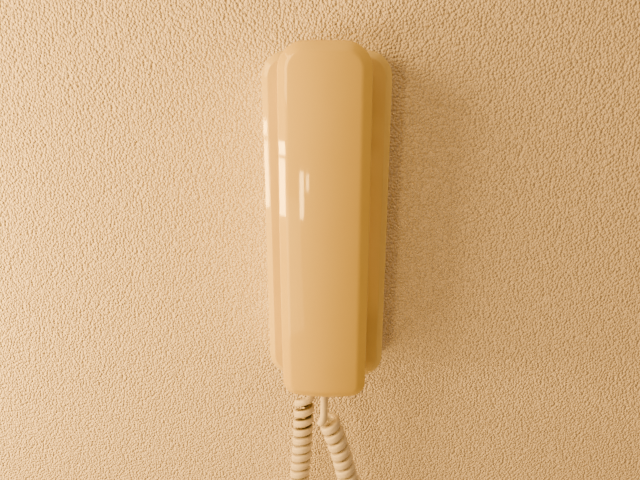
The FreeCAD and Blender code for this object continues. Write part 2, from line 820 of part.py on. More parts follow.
def hook_switch():
    body = new_body("hook_switch")
    case = sketch(body, "case", cover_front)
    rectangle(case, 0, plunger_z, cell("hook_switch_width"), cell("hook_switch_height"))
    pad(body, case, cell("hook_switch_depth"))
    button = sketch(body, "button", cover_front + cell("hook_switch_depth"))
    circle(button, 0, plunger_z, cell("plunger_radius") / 2)
    pad(body, button, cell("plunger_play"))
    return body


switch_front = cover_front + cell("hook_switch_depth")
flange_front = well_back - cell("plunger_travel") - cell("plunger_play") / 2
flange_back = flange_front - cell("plunger_flange_sheet")


def hook_plunger():
    """The plunger that the ear cup holds in. Its flange stops it under the well's floor."""
    tip = cup_tip - cell("plunger_play")
    stem, flange = cell("plunger_radius"), cell("plunger_flange")
    tail = switch_front + 2 * cell("plunger_play")
    body = profile_body(
        "hook_plunger",
        0,
        0,
        plunger_z,
        [
            (0, tail),
            (stem * 3 / 4, tail),
            (stem * 3 / 4, flange_back),
            (flange, flange_back),
            (flange, flange_front),
            (stem, flange_front),
            (stem, tip),
            (0, tip),
        ],
    )
    dress(body, "Fillet", lambda edge: abs(edge.BoundBox.YMin + tip.number) < 1e-6, Radius=stem / 2)
    return body


def volume_switch():
    """The slide switch on the board's edge, with a slot that the slider's foot runs in."""
    body = new_body("volume_switch")
    across = base_width / 2 - case_wall
    foot = cell("volume_knob") / 2
    length = foot + cell("volume_travel") + 4 * cell("volume_play") + case_wall
    middle = cell("volume_z") + cell("volume_travel") / 2
    near = board_front
    far = cell("volume_depth") + cell("volume_knob_depth")
    left = cell("board_width") / 2 - 2 * case_wall
    case = sketch(body, "case", near)
    right = across - 2 * cell("volume_play")
    rectangle(case, (left + right) / 2, middle, right - left, length)
    pad(body, case, far - near)
    slot = sketch(body, "slot", right, "YZ_Plane")
    travel_room = foot + cell("volume_travel") + 2 * cell("volume_play")
    foot_room = cell("volume_knob_depth") / 2 + 2 * cell("volume_play")
    rectangle(slot, -cell("volume_depth"), middle, foot_room, travel_room)
    pocket(body, slot, (across - left) / 2)
    return body


def volume_slider():
    """A ribbed knob in the side wall, with a foot in the switch."""
    body = new_body("volume_slider")
    outside = base_width / 2 + cell("volume_stands")
    inside = base_width / 2 - case_wall
    knob = sketch(body, "knob", inside, "YZ_Plane")
    thick, height = cell("volume_knob_depth"), cell("volume_knob")
    rectangle(knob, -cell("volume_depth"), cell("volume_z"), thick, height)
    pad(body, knob, outside - inside)
    foot = sketch(body, "foot", inside, "YZ_Plane")
    rectangle(foot, -cell("volume_depth"), cell("volume_z"), thick / 2, height / 2)
    pad(body, foot, case_wall, Reversed=True)
    grooves = sketch(body, "grooves", outside, "YZ_Plane")
    ribs = 2
    for side in range(ribs):
        along = cell("volume_z") + (side - (ribs - 1) / 2) * height / 2
        rectangle(grooves, -cell("volume_depth"), along, thick * 2, height / 8)
    pocket(body, grooves, cell("volume_stands"))
    return body


def grommet(label, across, depth, height, wall):
    """A rubber bush in a bottom wall: flange inside, lip outside, bore for the cord."""
    body = new_body(label)
    lip, flange_top = cell("grommet_lip"), wall + cell("grommet_flange_sheet")
    bore, neck, flange = cell("grommet_bore"), cell("grommet_neck"), cell("grommet_flange")
    drawing = sketch(body, "profile")
    polygon(
        drawing,
        [
            (bore, -lip),
            (neck + lip, -lip),
            (neck + lip, 0),
            (neck, 0),
            (neck, wall),
            (flange, wall),
            (flange, flange_top),
            (bore, flange_top),
        ],
    )
    turned(body, drawing, axis="V_Axis")
    place(body, across, depth, height)
    return body


def base_cord_grommet():
    return grommet(
        "base_cord_grommet", cell("base_cord_x"), cell("base_cord_depth"), -base_height / 2, case_wall
    )


# Handset


def handset_outline(drawing, inset):
    """The handset seen from the front: a little narrower at its top."""
    inset = sized(inset)
    top, bottom = cell("handset_top_width") / 2 - inset, cell("handset_bottom_width") / 2 - inset
    low, high = handset_bottom + inset, handset_top - inset
    return polygon(drawing, [(-bottom, low), (bottom, low), (top, high), (-top, high)])


def round_handset(body, corners, inset):
    """Round the corners of a handset outline, which are tighter at its foot."""
    round_corners(body, corners[:2], cell("handset_foot_corner") - inset)
    round_corners(body, corners[2:], cell("handset_corner") - inset)


def crown_cut(body, front):
    """Cut a form's front to its crown: a shallow arc across, swung along a long arc."""
    crown, arch = cell("crown_radius"), cell("arch_radius")
    reach = cell("handset_bottom_width") * 3 / 4
    clear = -(front + handset_wall * 6)
    drawing = sketch(body, "crown", handset_middle, "XY_Plane")
    axis_line(drawing, arch - front)
    centre = Vector(0, crown.number - front.number, 0)
    lean = math.asin(reach.number / crown.number)
    down = 3 * math.pi / 2
    arc = drawing.addGeometry(
        Part.ArcOfCircle(Part.Circle(centre, Vector(0, 0, 1), crown.number), down - lean, down + lean), False
    )
    left, right = drawing.Geometry[arc].StartPoint, drawing.Geometry[arc].EndPoint
    far_left, far_right = (Vector(side * reach.number, clear.number, 0) for side in (-1, 1))
    lines = [
        drawing.addGeometry(Part.LineSegment(*ends), False)
        for ends in ((right, far_right), (far_right, far_left), (far_left, left))
    ]
    loop = [arc, *lines]
    for here, after in zip(loop, loop[1:] + loop[:1]):
        drawing.addConstraint(Sketcher.Constraint("Coincident", here, 2, after, 1))
    drawing.addConstraint(Sketcher.Constraint("Vertical", lines[0]))
    drawing.addConstraint(Sketcher.Constraint("Vertical", lines[2]))
    fix_point(drawing, lines[1], 1, reach, clear)
    fix_point(drawing, lines[1], 2, -reach, clear)
    fix_point(drawing, arc, 3, 0, crown - front)
    held = drawing.addConstraint(Sketcher.Constraint("Radius", arc, crown.number))
    bind(drawing, f"Constraints[{held}]", crown)
    add_feature(
        body,
        "Groove",
        drawing,
        ReferenceAxis=(drawing, ["Axis0"]),
        Angle=sized(CROWN_SWING),
        Midplane=True,
    )


def handset_form(body, inset):
    """The closed form of the handset's front half, or of its hollow where it is inset by the wall."""
    inset = sized(inset)
    front = cell("handset_front") - inset
    outline = sketch(body, "outline", handset_split)
    corners = handset_outline(outline, inset)
    pad(body, outline, front - handset_split)
    round_handset(body, corners, inset)
    crown_cut(body, front)
    shallow = -(handset_split.number + 1)
    dress(
        body,
        "Chamfer",
        lambda edge: edge.BoundBox.YMax < shallow,
        ChamferType="Two distances",
        Size=cell("handset_bevel_side"),
        Size2=cell("handset_bevel_face"),
    )


def handset_shell():
    body = new_body("handset_shell")
    handset_form(body, 0)
    hollow = new_body("handset_hollow")
    handset_form(hollow, handset_wall)
    cut_out(body, hollow)
    columns = sketch(body, "posts", inner_floor)
    for across, along in handset_screws:
        circle(columns, across, along, cell("post_radius"))
    pad(body, columns, cell("handset_front") - handset_wall * 3 / 4 - inner_floor)
    holes = sketch(body, "post_holes", inner_floor)
    for across, along in handset_screws:
        circle(holes, across, along, screw_hole)
    pocket(body, holes, cell("screw_grip"), Reversed=True)
    cord_hole = sketch(body, "cord_hole", handset_bottom, "XY_Plane")
    circle(cord_hole, 0, -handset_cord, cell("grommet_neck") + cell("grommet_play"))
    pocket(body, cord_hole, handset_wall, Reversed=True)
    return body


def handset_inner_cover():
    body = new_body("handset_inner_cover")
    outline = sketch(body, "outline", handset_back)
    corners = handset_outline(outline, 0)
    pad(body, outline, handset_split - handset_back)
    round_handset(body, corners, sized(0))
    dress(body, "Fillet", lambda edge: lies_at_depth(edge, handset_back), Radius=cell("handset_soft_edge"))
    hollow = new_body("inner_cover_hollow")
    inside = sketch(hollow, "outline", inner_floor)
    corners = handset_outline(inside, handset_wall)
    pad(hollow, inside, handset_split - inner_floor)
    round_handset(hollow, corners, handset_wall)
    cut_out(body, hollow)
    for name, middle in (("ear", ear_z), ("mouth", mouth_z)):
        turned(body, cone_profile(body, f"{name}_cup", middle, cup_tip, inner_floor, cup_radius))
        inside = cup_tip + cell("cup_wall")
        turned(body, cone_profile(body, f"{name}_bore", middle, inside, handset_split, cup_bore), "Groove")
        sound_holes(body, name, middle)
    slot = sketch(body, "tab_slot", handset_back)
    half = cell("tab_sheet") / cos(lift) / 2
    low = tab_height(handset_back) - half - cell("tab_play")
    high = tab_height(inner_floor) + half + cell("tab_play")
    rectangle(slot, 0, (low + high) / 2, cell("tab_width") + 2 * cell("tab_play"), high - low)
    pocket(body, slot, handset_wall, Reversed=True)
    heads = sketch(body, "screw_heads", handset_back)
    holes = sketch(body, "screw_holes", handset_back)
    for across, along in handset_screws:
        circle(heads, across, along, cell("screw_head_radius") + cell("screw_play"))
        circle(holes, across, along, screw_hole)
    pocket(body, heads, cell("screw_head"), Reversed=True)
    pocket(body, holes, handset_wall, Reversed=True)
    return body


def sound_holes(body, name, middle):
    """A ring of holes and one in the middle, through a cup's face."""
    drawing = sketch(body, f"{name}_holes", cup_tip)
    ring, radius = cell(f"{name}_hole_ring"), cell("cup_hole_radius")
    count = int(cell("cup_holes").number)
    circle(drawing, 0, middle, radius)
    for index in range(count):
        turn = 2 * math.pi * index / count
        circle(drawing, ring * math.cos(turn), middle + ring * math.sin(turn), radius)
    pocket(body, drawing, cell("cup_wall"), Reversed=True)


receiver_seat = handset_back - cell("receiver_seat")


def receiver_gasket():
    back = receiver_seat - cell("gasket_sheet")
    play = cell("seat_play") / cos(cell("cup_taper"))
    bore = cell("gasket_bore")
    corners = [
        (bore, back),
        (cup_bore(back) - play, back),
        (cup_bore(receiver_seat) - play, receiver_seat),
        (bore, receiver_seat),
    ]
    return profile_body("receiver_gasket", 0, 0, ear_z, corners)


def receiver_capsule():
    """A flat can with a stepped back."""
    radius, depth = cell("receiver_radius"), cell("receiver_depth")
    step = receiver_seat + depth * 2 / 3
    corners = [
        (0, receiver_seat),
        (radius, receiver_seat),
        (radius, step),
        (radius * 2 / 3, step),
        (radius * 2 / 3, receiver_seat + depth),
        (0, receiver_seat + depth),
    ]
    return profile_body("receiver_capsule", 0, 0, ear_z, corners)


microphone_floor = cup_tip + cell("cup_wall") + cell("seat_play")
microphone_front = microphone_floor + cell("cup_wall") / 2


def microphone_boot():
    """A rubber cup that fills the tip of the mouth cup and holds the capsule."""
    far = microphone_floor + cell("microphone_boot_depth")
    play = cell("seat_play") / cos(cell("cup_taper"))
    bore = cell("microphone_radius") + cell("seat_play")
    hole = cell("microphone_radius") / 3
    corners = [
        (hole, microphone_floor),
        (cup_bore(microphone_floor) - play, microphone_floor),
        (cup_bore(far) - play, far),
        (bore, far),
        (bore, microphone_front),
        (hole, microphone_front),
    ]
    return profile_body("microphone_boot", 0, 0, mouth_z, corners)


def microphone_capsule():
    radius = cell("microphone_radius")
    front = microphone_front + cell("seat_play")
    far = front + cell("microphone_depth")
    corners = [(0, front), (radius, front), (radius, far), (0, far)]
    return profile_body("microphone_capsule", 0, 0, mouth_z, corners)


def handset_cord_grommet():
    return grommet("handset_cord_grommet", 0, handset_cord, handset_bottom, handset_wall)


# Cords, leads and the spring: round wire on arcs that meet smoothly


def feature(label, shape):
    made = doc.addObject("Part::Feature", label)
    made.Label = label
    made.Shape = shape
    return made


def arc_edge(start, corner, end):
    """The arc between two points that is tangent to the lines from them to a corner."""
    middle = (start + end) * 0.5
    rise = (corner - middle).Length
    half = (start - middle).Length
    if rise < 1e-7:
        return Part.LineSegment(start, end).toShape(), math.inf
    radius = (corner - start).Length * half / rise
    sagitta = radius - math.sqrt(max(radius**2 - half**2, 0))
    return Part.Arc(start, middle + (corner - middle) * (sagitta / rise), end).toShape(), radius


def biarc(start, leaving, end, arriving):
    """Two arcs from one point and direction to another, with their radii."""
    span = end - start
    both = leaving + arriving
    spread = 2 * (1 - leaving.dot(arriving))
    along = span.dot(both)
    if spread < 1e-9:
        reach = span.dot(span) / (4 * span.dot(arriving))
    else:
        reach = (math.sqrt(along**2 + spread * span.dot(span)) - along) / spread
    first, last = start + leaving * reach, end - arriving * reach
    joint = (first + last) * 0.5
    return [arc_edge(start, first, joint), arc_edge(joint, last, end)]


def wire_solid(edges, radius):
    """A round wire along edges. Its volume is its section times its length."""
    path = Part.Wire(edges)
    start = edges[0].valueAt(edges[0].FirstParameter)
    direction = edges[0].tangentAt(edges[0].FirstParameter)
    section = Part.Wire(Part.Circle(start, direction, radius).toShape())
    solid = path.makePipeShell([section], True, False)
    wanted = math.pi * radius**2 * path.Length
    if abs(solid.Volume - wanted) > 0.01 * wanted:
        raise RuntimeError(f"a wire's volume is {solid.Volume:.1f}, and not {wanted:.1f}")
    return solid


def rounded_lead(points, radius):
    """A lead of straight runs joined by arcs, each as large as its two runs allow."""
    points = [Vector(*point) for point in points]
    edges, here = [], points[0]
    for before, corner, after in zip(points, points[1:], points[2:]):
        coming, going = (before - corner).normalize(), (after - corner).normalize()
        reach = 0.45 * min((before - corner).Length, (after - corner).Length)
        start, end = corner + coming * reach, corner + going * reach
        edges.append(Part.LineSegment(here, start).toShape())
        edges.append(arc_edge(start, corner, end)[0])
        here = end
    edges.append(Part.LineSegment(here, points[-1]).toShape())
    return wire_solid(edges, radius)


def helix_spans(middle, normal, radius, turns):
    """Points and directions of a helix about a curve, where its spans meet."""
    count = round(turns * SPANS_PER_TURN)
    length = middle.length()
    spots = []
    side = normal
    for index in range(count + 1):
        place_on = middle.parameterAtDistance(length * index / count)
        ahead = middle.tangent(place_on)[0]
        side = (side - ahead * side.dot(ahead)).normalize()
        across = ahead.cross(side)
        turn = 2 * math.pi * turns * index / count
        out = side * math.cos(turn) + across * math.sin(turn)
        round_about = across * math.cos(turn) - side * math.sin(turn)
        rate = 2 * math.pi * turns / length
        heading = ahead * (1 - radius * bend_along(middle, place_on, out)) + round_about * (radius * rate)
        spots.append((middle.value(place_on) + out * radius, heading.normalize()))
    return spots


def bend_along(middle, place_on, out):
    """How sharply a curve bends towards a direction."""
    if middle.curvature(place_on) < 1e-9:
        return 0.0
    return middle.curvature(place_on) * middle.normal(place_on).dot(out)


def least_gap(edges, radius, apart):
    """The least gap of a wire to itself, between points that lie far enough apart along it."""
    points, travelled = [], []
    distance = 0.0
    for edge in edges:
        for point in edge.discretize(4)[:-1]:
            if points:
                distance += (point - points[-1]).Length
            points.append(point)
            travelled.append(distance)
    least = math.inf
    for here, (point, at) in enumerate(zip(points, travelled)):
        for other, there in zip(points[here + 1 :], travelled[here + 1 :]):
            if there - at > apart:
                least = min(least, (point - other).Length)
    return least - 2 * radius


def curly_cord():
    """One lead: straight out of the base's grommet, in curls along its loop, straight to the handset."""
    radius, curl = cell("cord_radius").number, cell("curl_radius").number
    lowest = min(-base_height.number / 2, handset_bottom.number)
    poles = [Vector(across, deep, lowest - drop) for across, deep, drop in CURL_ROUTE]
    middle = Part.BSplineCurve()
    knots = len(poles) - 1
    middle.buildFromPolesMultsKnots(poles, [3] + [1] * (knots - 2) + [3], list(range(knots)), False, 2)
    turns = round(middle.length() / cell("curl_pitch").number)
    spots = helix_spans(middle, Vector(1, 0, 0), curl, turns)
    run = cell("cord_end_run").number
    down, up = Vector(0, 0, -1), Vector(0, 0, 1)
    wall_end = -base_height / 2 + case_wall + cell("grommet_flange_sheet")
    base_end = Vector(cell("base_cord_x").number, -cell("base_cord_depth").number, wall_end.number)
    base_run = Vector(base_end.x, base_end.y, -base_height.number / 2 - run)
    handset_face = handset_bottom - cell("grommet_lip") - cell("cord_end_gap")
    handset_end = Vector(0, -handset_cord.number, handset_face.number)
    handset_run = handset_end + down * run
    spots = [(base_run, down), *spots, (handset_run, up)]
    edges, radii = [Part.LineSegment(base_end, base_run).toShape()], []
    for (start, leaving), (end, arriving) in zip(spots, spots[1:]):
        for edge, bend in biarc(start, leaving, end, arriving):
            edges.append(edge)
            radii.append(bend)
    edges.append(Part.LineSegment(handset_run, handset_end).toShape())
    gap = least_gap(edges, radius, math.pi * curl)
    length = sum(edge.Length for edge in edges)
    print(f"curly cord: {turns} curls in {length:.0f} mm of lead")
    print(f"curly cord: least bend radius {min(radii):.2f} mm, least gap to itself {gap:.2f} mm")
    if gap <= LEAST_CURL_GAP:
        raise RuntimeError("the curls touch")
    return feature("curly_cord", wire_solid(edges, radius))


def hook_spring():
    """The compressed spring between the switch and the plunger's flange."""
    wire, radius = cell("spring_wire").number, cell("spring_radius").number
    clear = wire + cell("seat_play").number
    height = plunger_z.number
    start = Vector(0, -switch_front.number - clear, height)
    end = Vector(0, -flange_back.number + clear, height)
    middle = Part.BSplineCurve()
    middle.buildFromPolesMultsKnots([start, end], [2, 2], [0, 1], False, 1)
    spots = helix_spans(middle, Vector(1, 0, 0), radius, cell("spring_turns").number)
    edges = []
    for (here, leaving), (there, arriving) in zip(spots, spots[1:]):
        edges += [edge for edge, _ in biarc(here, leaving, there, arriving)]
    return feature("hook_spring", wire_solid(edges, wire))


def handset_wires():
    """The cord's end in its grommet, and the leads to the microphone and the receiver."""
    lead = cell("wire_radius").number
    depth = handset_cord.number
    bottom, wall = handset_bottom.number, handset_wall.number
    top = bottom + wall + cell("grommet_flange_sheet").number
    face = Vector(0, -depth, bottom - cell("grommet_lip").number)
    stub = Part.makeCylinder(cell("cord_radius").number, top - face.z, face)
    shelf = top + 2 * lead
    microphone_back = (microphone_front + cell("seat_play") + cell("microphone_depth")).number
    receiver_back = (receiver_seat + cell("receiver_depth")).number
    mouth, ear = mouth_z.number, ear_z.number
    side = cell("post_radius").number * 3
    clear = cell("seat_play").number
    to_microphone = [
        (lead * 1.5, -depth, top),
        (lead * 1.5, -depth, shelf + 6),
        (2, -depth + 4, mouth + 1),
        (2, -microphone_back - clear, mouth + 1),
    ]
    to_receiver = [
        (-lead * 1.5, -depth, top),
        (-lead * 1.5, -depth, shelf + 6),
        (-side, -depth - 2, mouth + 12),
        (-side - 1, -depth - 4, mouth + 60),
        (-side, -depth - 3, ear - 30),
        (-side + 5, -depth + 3, ear),
        (-side + 5, -receiver_back - clear, ear),
    ]
    solids = [stub, rounded_lead(to_microphone, lead), rounded_lead(to_receiver, lead)]
    return feature("handset_wires", Part.makeCompound(solids))


def base_wires():
    """The leads from the cord and from the hook switch to the back of the circuit board."""
    lead = cell("wire_radius").number
    across, depth = cell("base_cord_x").number, cell("base_cord_depth").number
    top = (-base_height / 2 + case_wall + cell("grommet_flange_sheet")).number
    back = board_back.number - cell("seat_play").number
    low = (cell("board_z") - cell("board_height") / 2).number
    high = (cell("board_z") + cell("board_height") / 2).number
    shallow = cover_front.number + 3
    from_cord = [
        (across, -depth, top),
        (across, -depth, top + 6),
        (across - 2, -shallow, top + 18),
        (across - 4, -shallow, low - 6),
        (across - 4, -shallow, low + 8),
        (across - 4, -back, low + 8),
    ]
    switch_edge = (plunger_z - cell("hook_switch_height") / 2).number
    from_switch = [
        (5, -cover_front.number - 1.6, switch_edge),
        (5, -cover_front.number - 1.6, switch_edge - 6),
        (8, -shallow, switch_edge - 16),
        (9, -shallow, high + 26),
        (8, -shallow, high - 4),
        (8, -back, high - 4),
    ]
    leads = [rounded_lead(run, lead) for run in (from_cord, from_switch)]
    return feature("base_wires", Part.makeCompound(leads))


def check(nodes):
    """Stop if anything in the document failed, or a piece isn't whole."""
    for thing in doc.Objects:
        if "Invalid" in thing.State or "Error" in thing.State:
            raise RuntimeError(f"{thing.Label} failed: {thing.State}")
    for node in nodes:
        if node.Shape.isNull() or not node.Shape.isValid() or not node.Shape.Solids:
            raise RuntimeError(f"{node.Label} has no whole solid")


def main():
    thread = cell("screw_grip") - cell("screw_tip_gap")
    nodes = [
        wall_bracket(),
        base_rear_cover(),
        base_front_case(),
        screws("rear_cover_screws", cover_screws, cover_back, cell("cover_sheet") + thread),
        circuit_board(),
        screws("circuit_board_screws", board_screws, board_back, cell("board_sheet") + thread),
        terminal_block(),
        terminal_screws(),
        line_transformer(),
        capacitors(),
        chime_speaker_frame(),
        chime_speaker_cone(),
        chime_speaker_magnet(),
        hook_switch(),
        hook_spring(),
        hook_plunger(),
        volume_switch(),
        volume_slider(),
        base_cord_grommet(),
        base_wires(),
        handset_shell(),
        handset_inner_cover(),
        receiver_gasket(),
        receiver_capsule(),
        microphone_boot(),
        microphone_capsule(),
        screws(
            "handset_screws",
            handset_screws,
            handset_back + cell("screw_head"),
            handset_wall - cell("screw_head") + thread,
        ),
        handset_cord_grommet(),
        handset_wires(),
        curly_cord(),
    ]
    doc.recompute()
    check(nodes)
    os.makedirs("parts", exist_ok=True)
    for node in nodes:
        node.Shape.exportStep(os.path.join("parts", f"{node.Label}.step"))
        print(f"{node.Label}: {len(node.Shape.Solids)} solids, {node.Shape.Volume:.1f} mm3")


main()
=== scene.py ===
"""A wall-hung handset telephone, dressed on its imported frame.

Lengths are in metres. X runs to the right as seen from the room, Y into the wall and Z up.
"""

import json
import logging
import math
from dataclasses import dataclass, field, replace
from enum import Enum
from typing import Callable, Sequence

import bmesh
import bpy
import numpy as np
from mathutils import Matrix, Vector

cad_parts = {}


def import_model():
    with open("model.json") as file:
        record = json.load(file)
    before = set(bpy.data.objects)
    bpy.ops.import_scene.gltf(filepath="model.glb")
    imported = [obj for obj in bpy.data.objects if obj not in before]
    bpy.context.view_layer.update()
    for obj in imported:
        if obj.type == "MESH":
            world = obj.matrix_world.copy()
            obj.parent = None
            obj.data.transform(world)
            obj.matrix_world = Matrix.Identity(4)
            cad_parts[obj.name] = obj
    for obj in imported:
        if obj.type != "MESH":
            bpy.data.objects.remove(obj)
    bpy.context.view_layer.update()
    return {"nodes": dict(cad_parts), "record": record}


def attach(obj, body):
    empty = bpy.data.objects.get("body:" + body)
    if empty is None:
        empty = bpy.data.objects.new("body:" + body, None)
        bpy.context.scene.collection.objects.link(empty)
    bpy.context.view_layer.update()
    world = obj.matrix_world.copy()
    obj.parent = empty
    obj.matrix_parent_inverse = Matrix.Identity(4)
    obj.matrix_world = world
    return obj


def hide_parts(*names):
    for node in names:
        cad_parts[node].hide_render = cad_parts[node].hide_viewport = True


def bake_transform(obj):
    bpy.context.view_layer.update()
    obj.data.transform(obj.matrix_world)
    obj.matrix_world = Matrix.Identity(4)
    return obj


MM = 0.001
UNSHADED_SHARE = "unshaded_share"  # the cord's attribute: 1 where its colour is left as it is, 0 deep in a gap, where painted shade darkens it
WELD = 0.002 * MM  # corners nearer than this are one
DUST = (0.62, 0.56, 0.47)
EDGE_BRIGHTENING = 1.25  # how much brighter edges are painted: partly real scuffing from handling, partly painted highlight
PLASTIC_IOR = 1.5
LOG = logging.getLogger("telephone")

Colour = tuple[float, float, float]
Point = tuple[float, float, float]
Feeds = dict[int | str, object]


class Body(Enum):
    """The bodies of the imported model."""

    BASE = "base"
    HANDSET = "handset"
    PLUNGER = "hook_plunger"
    SLIDER = "volume_slider"


class Slot(Enum):
    """The material slots of the record."""

    CREAM = "cream_plastic"
    CORD = "cord"
    CREAM_RUBBER = "cream_rubber"
    BLACK_RUBBER = "black_rubber"
    DARK = "dark_plastic"
    PAPER = "paper"
    BOARD = "board"
    WIRE = "wire"
    STEEL = "steel"
    BRASS = "brass"
    IRON = "iron"
    ALUMINIUM = "aluminium"


@dataclass
class NodeBench:
    """A node tree with short ways to add nodes and join them."""

    tree: bpy.types.NodeTree

    def add(self, kind: str, feeds: Feeds | None = None, **settings: object) -> bpy.types.Node:
        """Add a node.

        Args:
            kind: the node's type name.
            feeds: what its inputs get.
            settings: properties to set on it.

        Returns:
            The new node.
        """
        node = self.tree.nodes.new(kind)
        for name, value in settings.items():
            setattr(node, name, value)
        self.fill(node, feeds or {})
        return node

    def fill(self, node: bpy.types.Node, feeds: Feeds) -> None:
        """Feed several inputs of a node.

        Args:
            node: the node.
            feeds: a socket or a plain value for each input's name or number.
        """
        for name, source in feeds.items():
            self.feed(node.inputs[name], source)

    def feed(self, target: bpy.types.NodeSocket, source: object) -> None:
        """Join a socket to another, or give it a plain value.

        Args:
            target: the input that is fed.
            source: an output socket, or a value.
        """
        if isinstance(source, bpy.types.NodeSocket):
            self.tree.links.new(source, target)
        else:
            target.default_value = source

    def math(self, operation: str, first: object, second: object = 0.0) -> bpy.types.NodeSocket:
        """Work out a number from two others.

        Args:
            operation: the Math node's operation.
            first: a socket or a number.
            second: a socket or a number.

        Returns:
            The result's socket.
        """
        return self.add("ShaderNodeMath", {0: first, 1: second}, operation=operation).outputs[0]

    def blend(self, share: object, first: object, second: object) -> bpy.types.NodeSocket:
        """Mix two colours.

        Args:
            share: how much of the second colour.
            first: a socket or a colour.
            second: a socket or a colour.

        Returns:
            The mixed colour's socket.
        """
        first, second = ((*part, 1.0) if isinstance(part, tuple) else part for part in (first, second))
        return self.add("ShaderNodeMix", {0: share, 6: first, 7: second}, data_type="RGBA").outputs[2]

    def noise(self, vector: object, scale: object, detail: float = 2.0) -> bpy.types.NodeSocket:
        """Add a noise pattern.

        Args:
            vector: the coordinates' socket.
            scale: patches per metre, as a socket or a number.
            detail: how many finer layers it has.

        Returns:
            The pattern's value.
        """
        return self.add("ShaderNodeTexNoise", {"Vector": vector, "Scale": scale, "Detail": detail}).outputs[0]

    def spread(self, value: object, start: float, end: float, low: float = 0.0, high: float = 1.0) -> object:
        """Map a range of values to another.

        Args:
            value: the socket that is mapped.
            start: the value that gives low.
            end: the value that gives high.
            low: the lowest result.
            high: the highest result.

        Returns:
            The mapped value's socket.
        """
        feeds = dict(enumerate((value, start, end, low, high)))
        return self.add("ShaderNodeMapRange", feeds, interpolation_type="SMOOTHSTEP").outputs[0]


@dataclass
class Effects:
    """Node groups that several finishes share, each built once."""

    fine_share: float = 0.3
    coarse_share: float = 0.7
    patch_range: tuple[float, float] = (0.3, 0.7)
    upward_range: tuple[float, float] = (0.2, 1.0)
    speck_range: tuple[float, float] = (0.35, 0.7)
    edge_range: tuple[float, float] = (0.51, 0.58)
    broken_range: tuple[float, float] = (0.3, 0.65)
    peel: bpy.types.NodeTree = field(init=False)
    ageing: bpy.types.NodeTree = field(init=False)
    edge_scuff_and_highlight: bpy.types.NodeTree = field(init=False)

    def __post_init__(self) -> None:
        """Build every group."""
        self.peel = self._peel()
        self.ageing = self._ageing()
        self.edge_scuff_and_highlight = self._edge_scuff_and_highlight()

    @staticmethod
    def _start(
        name: str, inputs: dict[str, float], outputs: Sequence[str]
    ) -> tuple[NodeBench, object, object]:
        """Start a group.

        Args:
            name: the group's name.
            inputs: its numbers, with their usual values.
            outputs: the names of the values it puts out.

        Returns:
            The bench, the group's input node and its output node.
        """
        tree = bpy.data.node_groups.new(name, "ShaderNodeTree")
        tree.interface.new_socket("Vector", in_out="INPUT", socket_type="NodeSocketVector")
        for label, value in inputs.items():
            socket = tree.interface.new_socket(label, in_out="INPUT", socket_type="NodeSocketFloat")
            socket.default_value = value
        for label in outputs:
            tree.interface.new_socket(label, in_out="OUTPUT", socket_type="NodeSocketFloat")
        bench = NodeBench(tree)
        return bench, bench.add("NodeGroupInput"), bench.add("NodeGroupOutput")

    def _peel(self) -> bpy.types.NodeTree:
        """Build the fine unevenness of a moulded or cast surface.

        Returns:
            The group.
        """
        scales = {"Fine Scale": 1500.0, "Coarse Scale": 220.0}
        bench, given, out = self._start("surface_peel", scales, ["Height"])
        fine = bench.noise(given.outputs["Vector"], given.outputs["Fine Scale"], detail=2.0)
        coarse = bench.noise(given.outputs["Vector"], given.outputs["Coarse Scale"], detail=1.0)
        fine = bench.math("MULTIPLY", fine, self.fine_share)
        coarse = bench.math("MULTIPLY", coarse, self.coarse_share)
        bench.feed(out.inputs["Height"], bench.math("ADD", fine, coarse))
        return bench.tree

    def _ageing(self) -> bpy.types.NodeTree:
        """Build the uneven tone of age, and the dust that settles on upper faces.

        Returns:
            The group.
        """
        scales = {"Patch Scale": 18.0, "Dust Scale": 300.0}
        bench, given, out = self._start("ageing", scales, ["Patches", "Dust"])
        patches = bench.noise(given.outputs["Vector"], given.outputs["Patch Scale"], detail=4.0)
        bench.feed(out.inputs["Patches"], bench.spread(patches, *self.patch_range))
        facing = bench.add("ShaderNodeSeparateXYZ", {0: bench.add("ShaderNodeNewGeometry").outputs["Normal"]})
        settled = bench.spread(facing.outputs["Z"], *self.upward_range)
        grains = bench.noise(given.outputs["Vector"], given.outputs["Dust Scale"], detail=5.0)
        specks = bench.spread(grains, *self.speck_range)
        bench.feed(out.inputs["Dust"], bench.math("MULTIPLY", settled, specks))
        return bench.tree

    def _edge_scuff_and_highlight(self) -> bpy.types.NodeTree:
        """Build the mask of edges painted brighter: partly real scuffing from handling, partly painted
        highlight.

        Returns:
            The group.
        """
        bench, given, out = self._start("scuffed_and_highlit_edges", {"Breakup Scale": 140.0}, ["Wear"])
        pointed = bench.add("ShaderNodeNewGeometry").outputs["Pointiness"]
        edge = bench.spread(pointed, *self.edge_range)
        patches = bench.noise(given.outputs["Vector"], given.outputs["Breakup Scale"], detail=4.0)
        broken = bench.spread(patches, *self.broken_range)
        bench.feed(out.inputs["Wear"], bench.math("MULTIPLY", edge, broken))
        return bench.tree


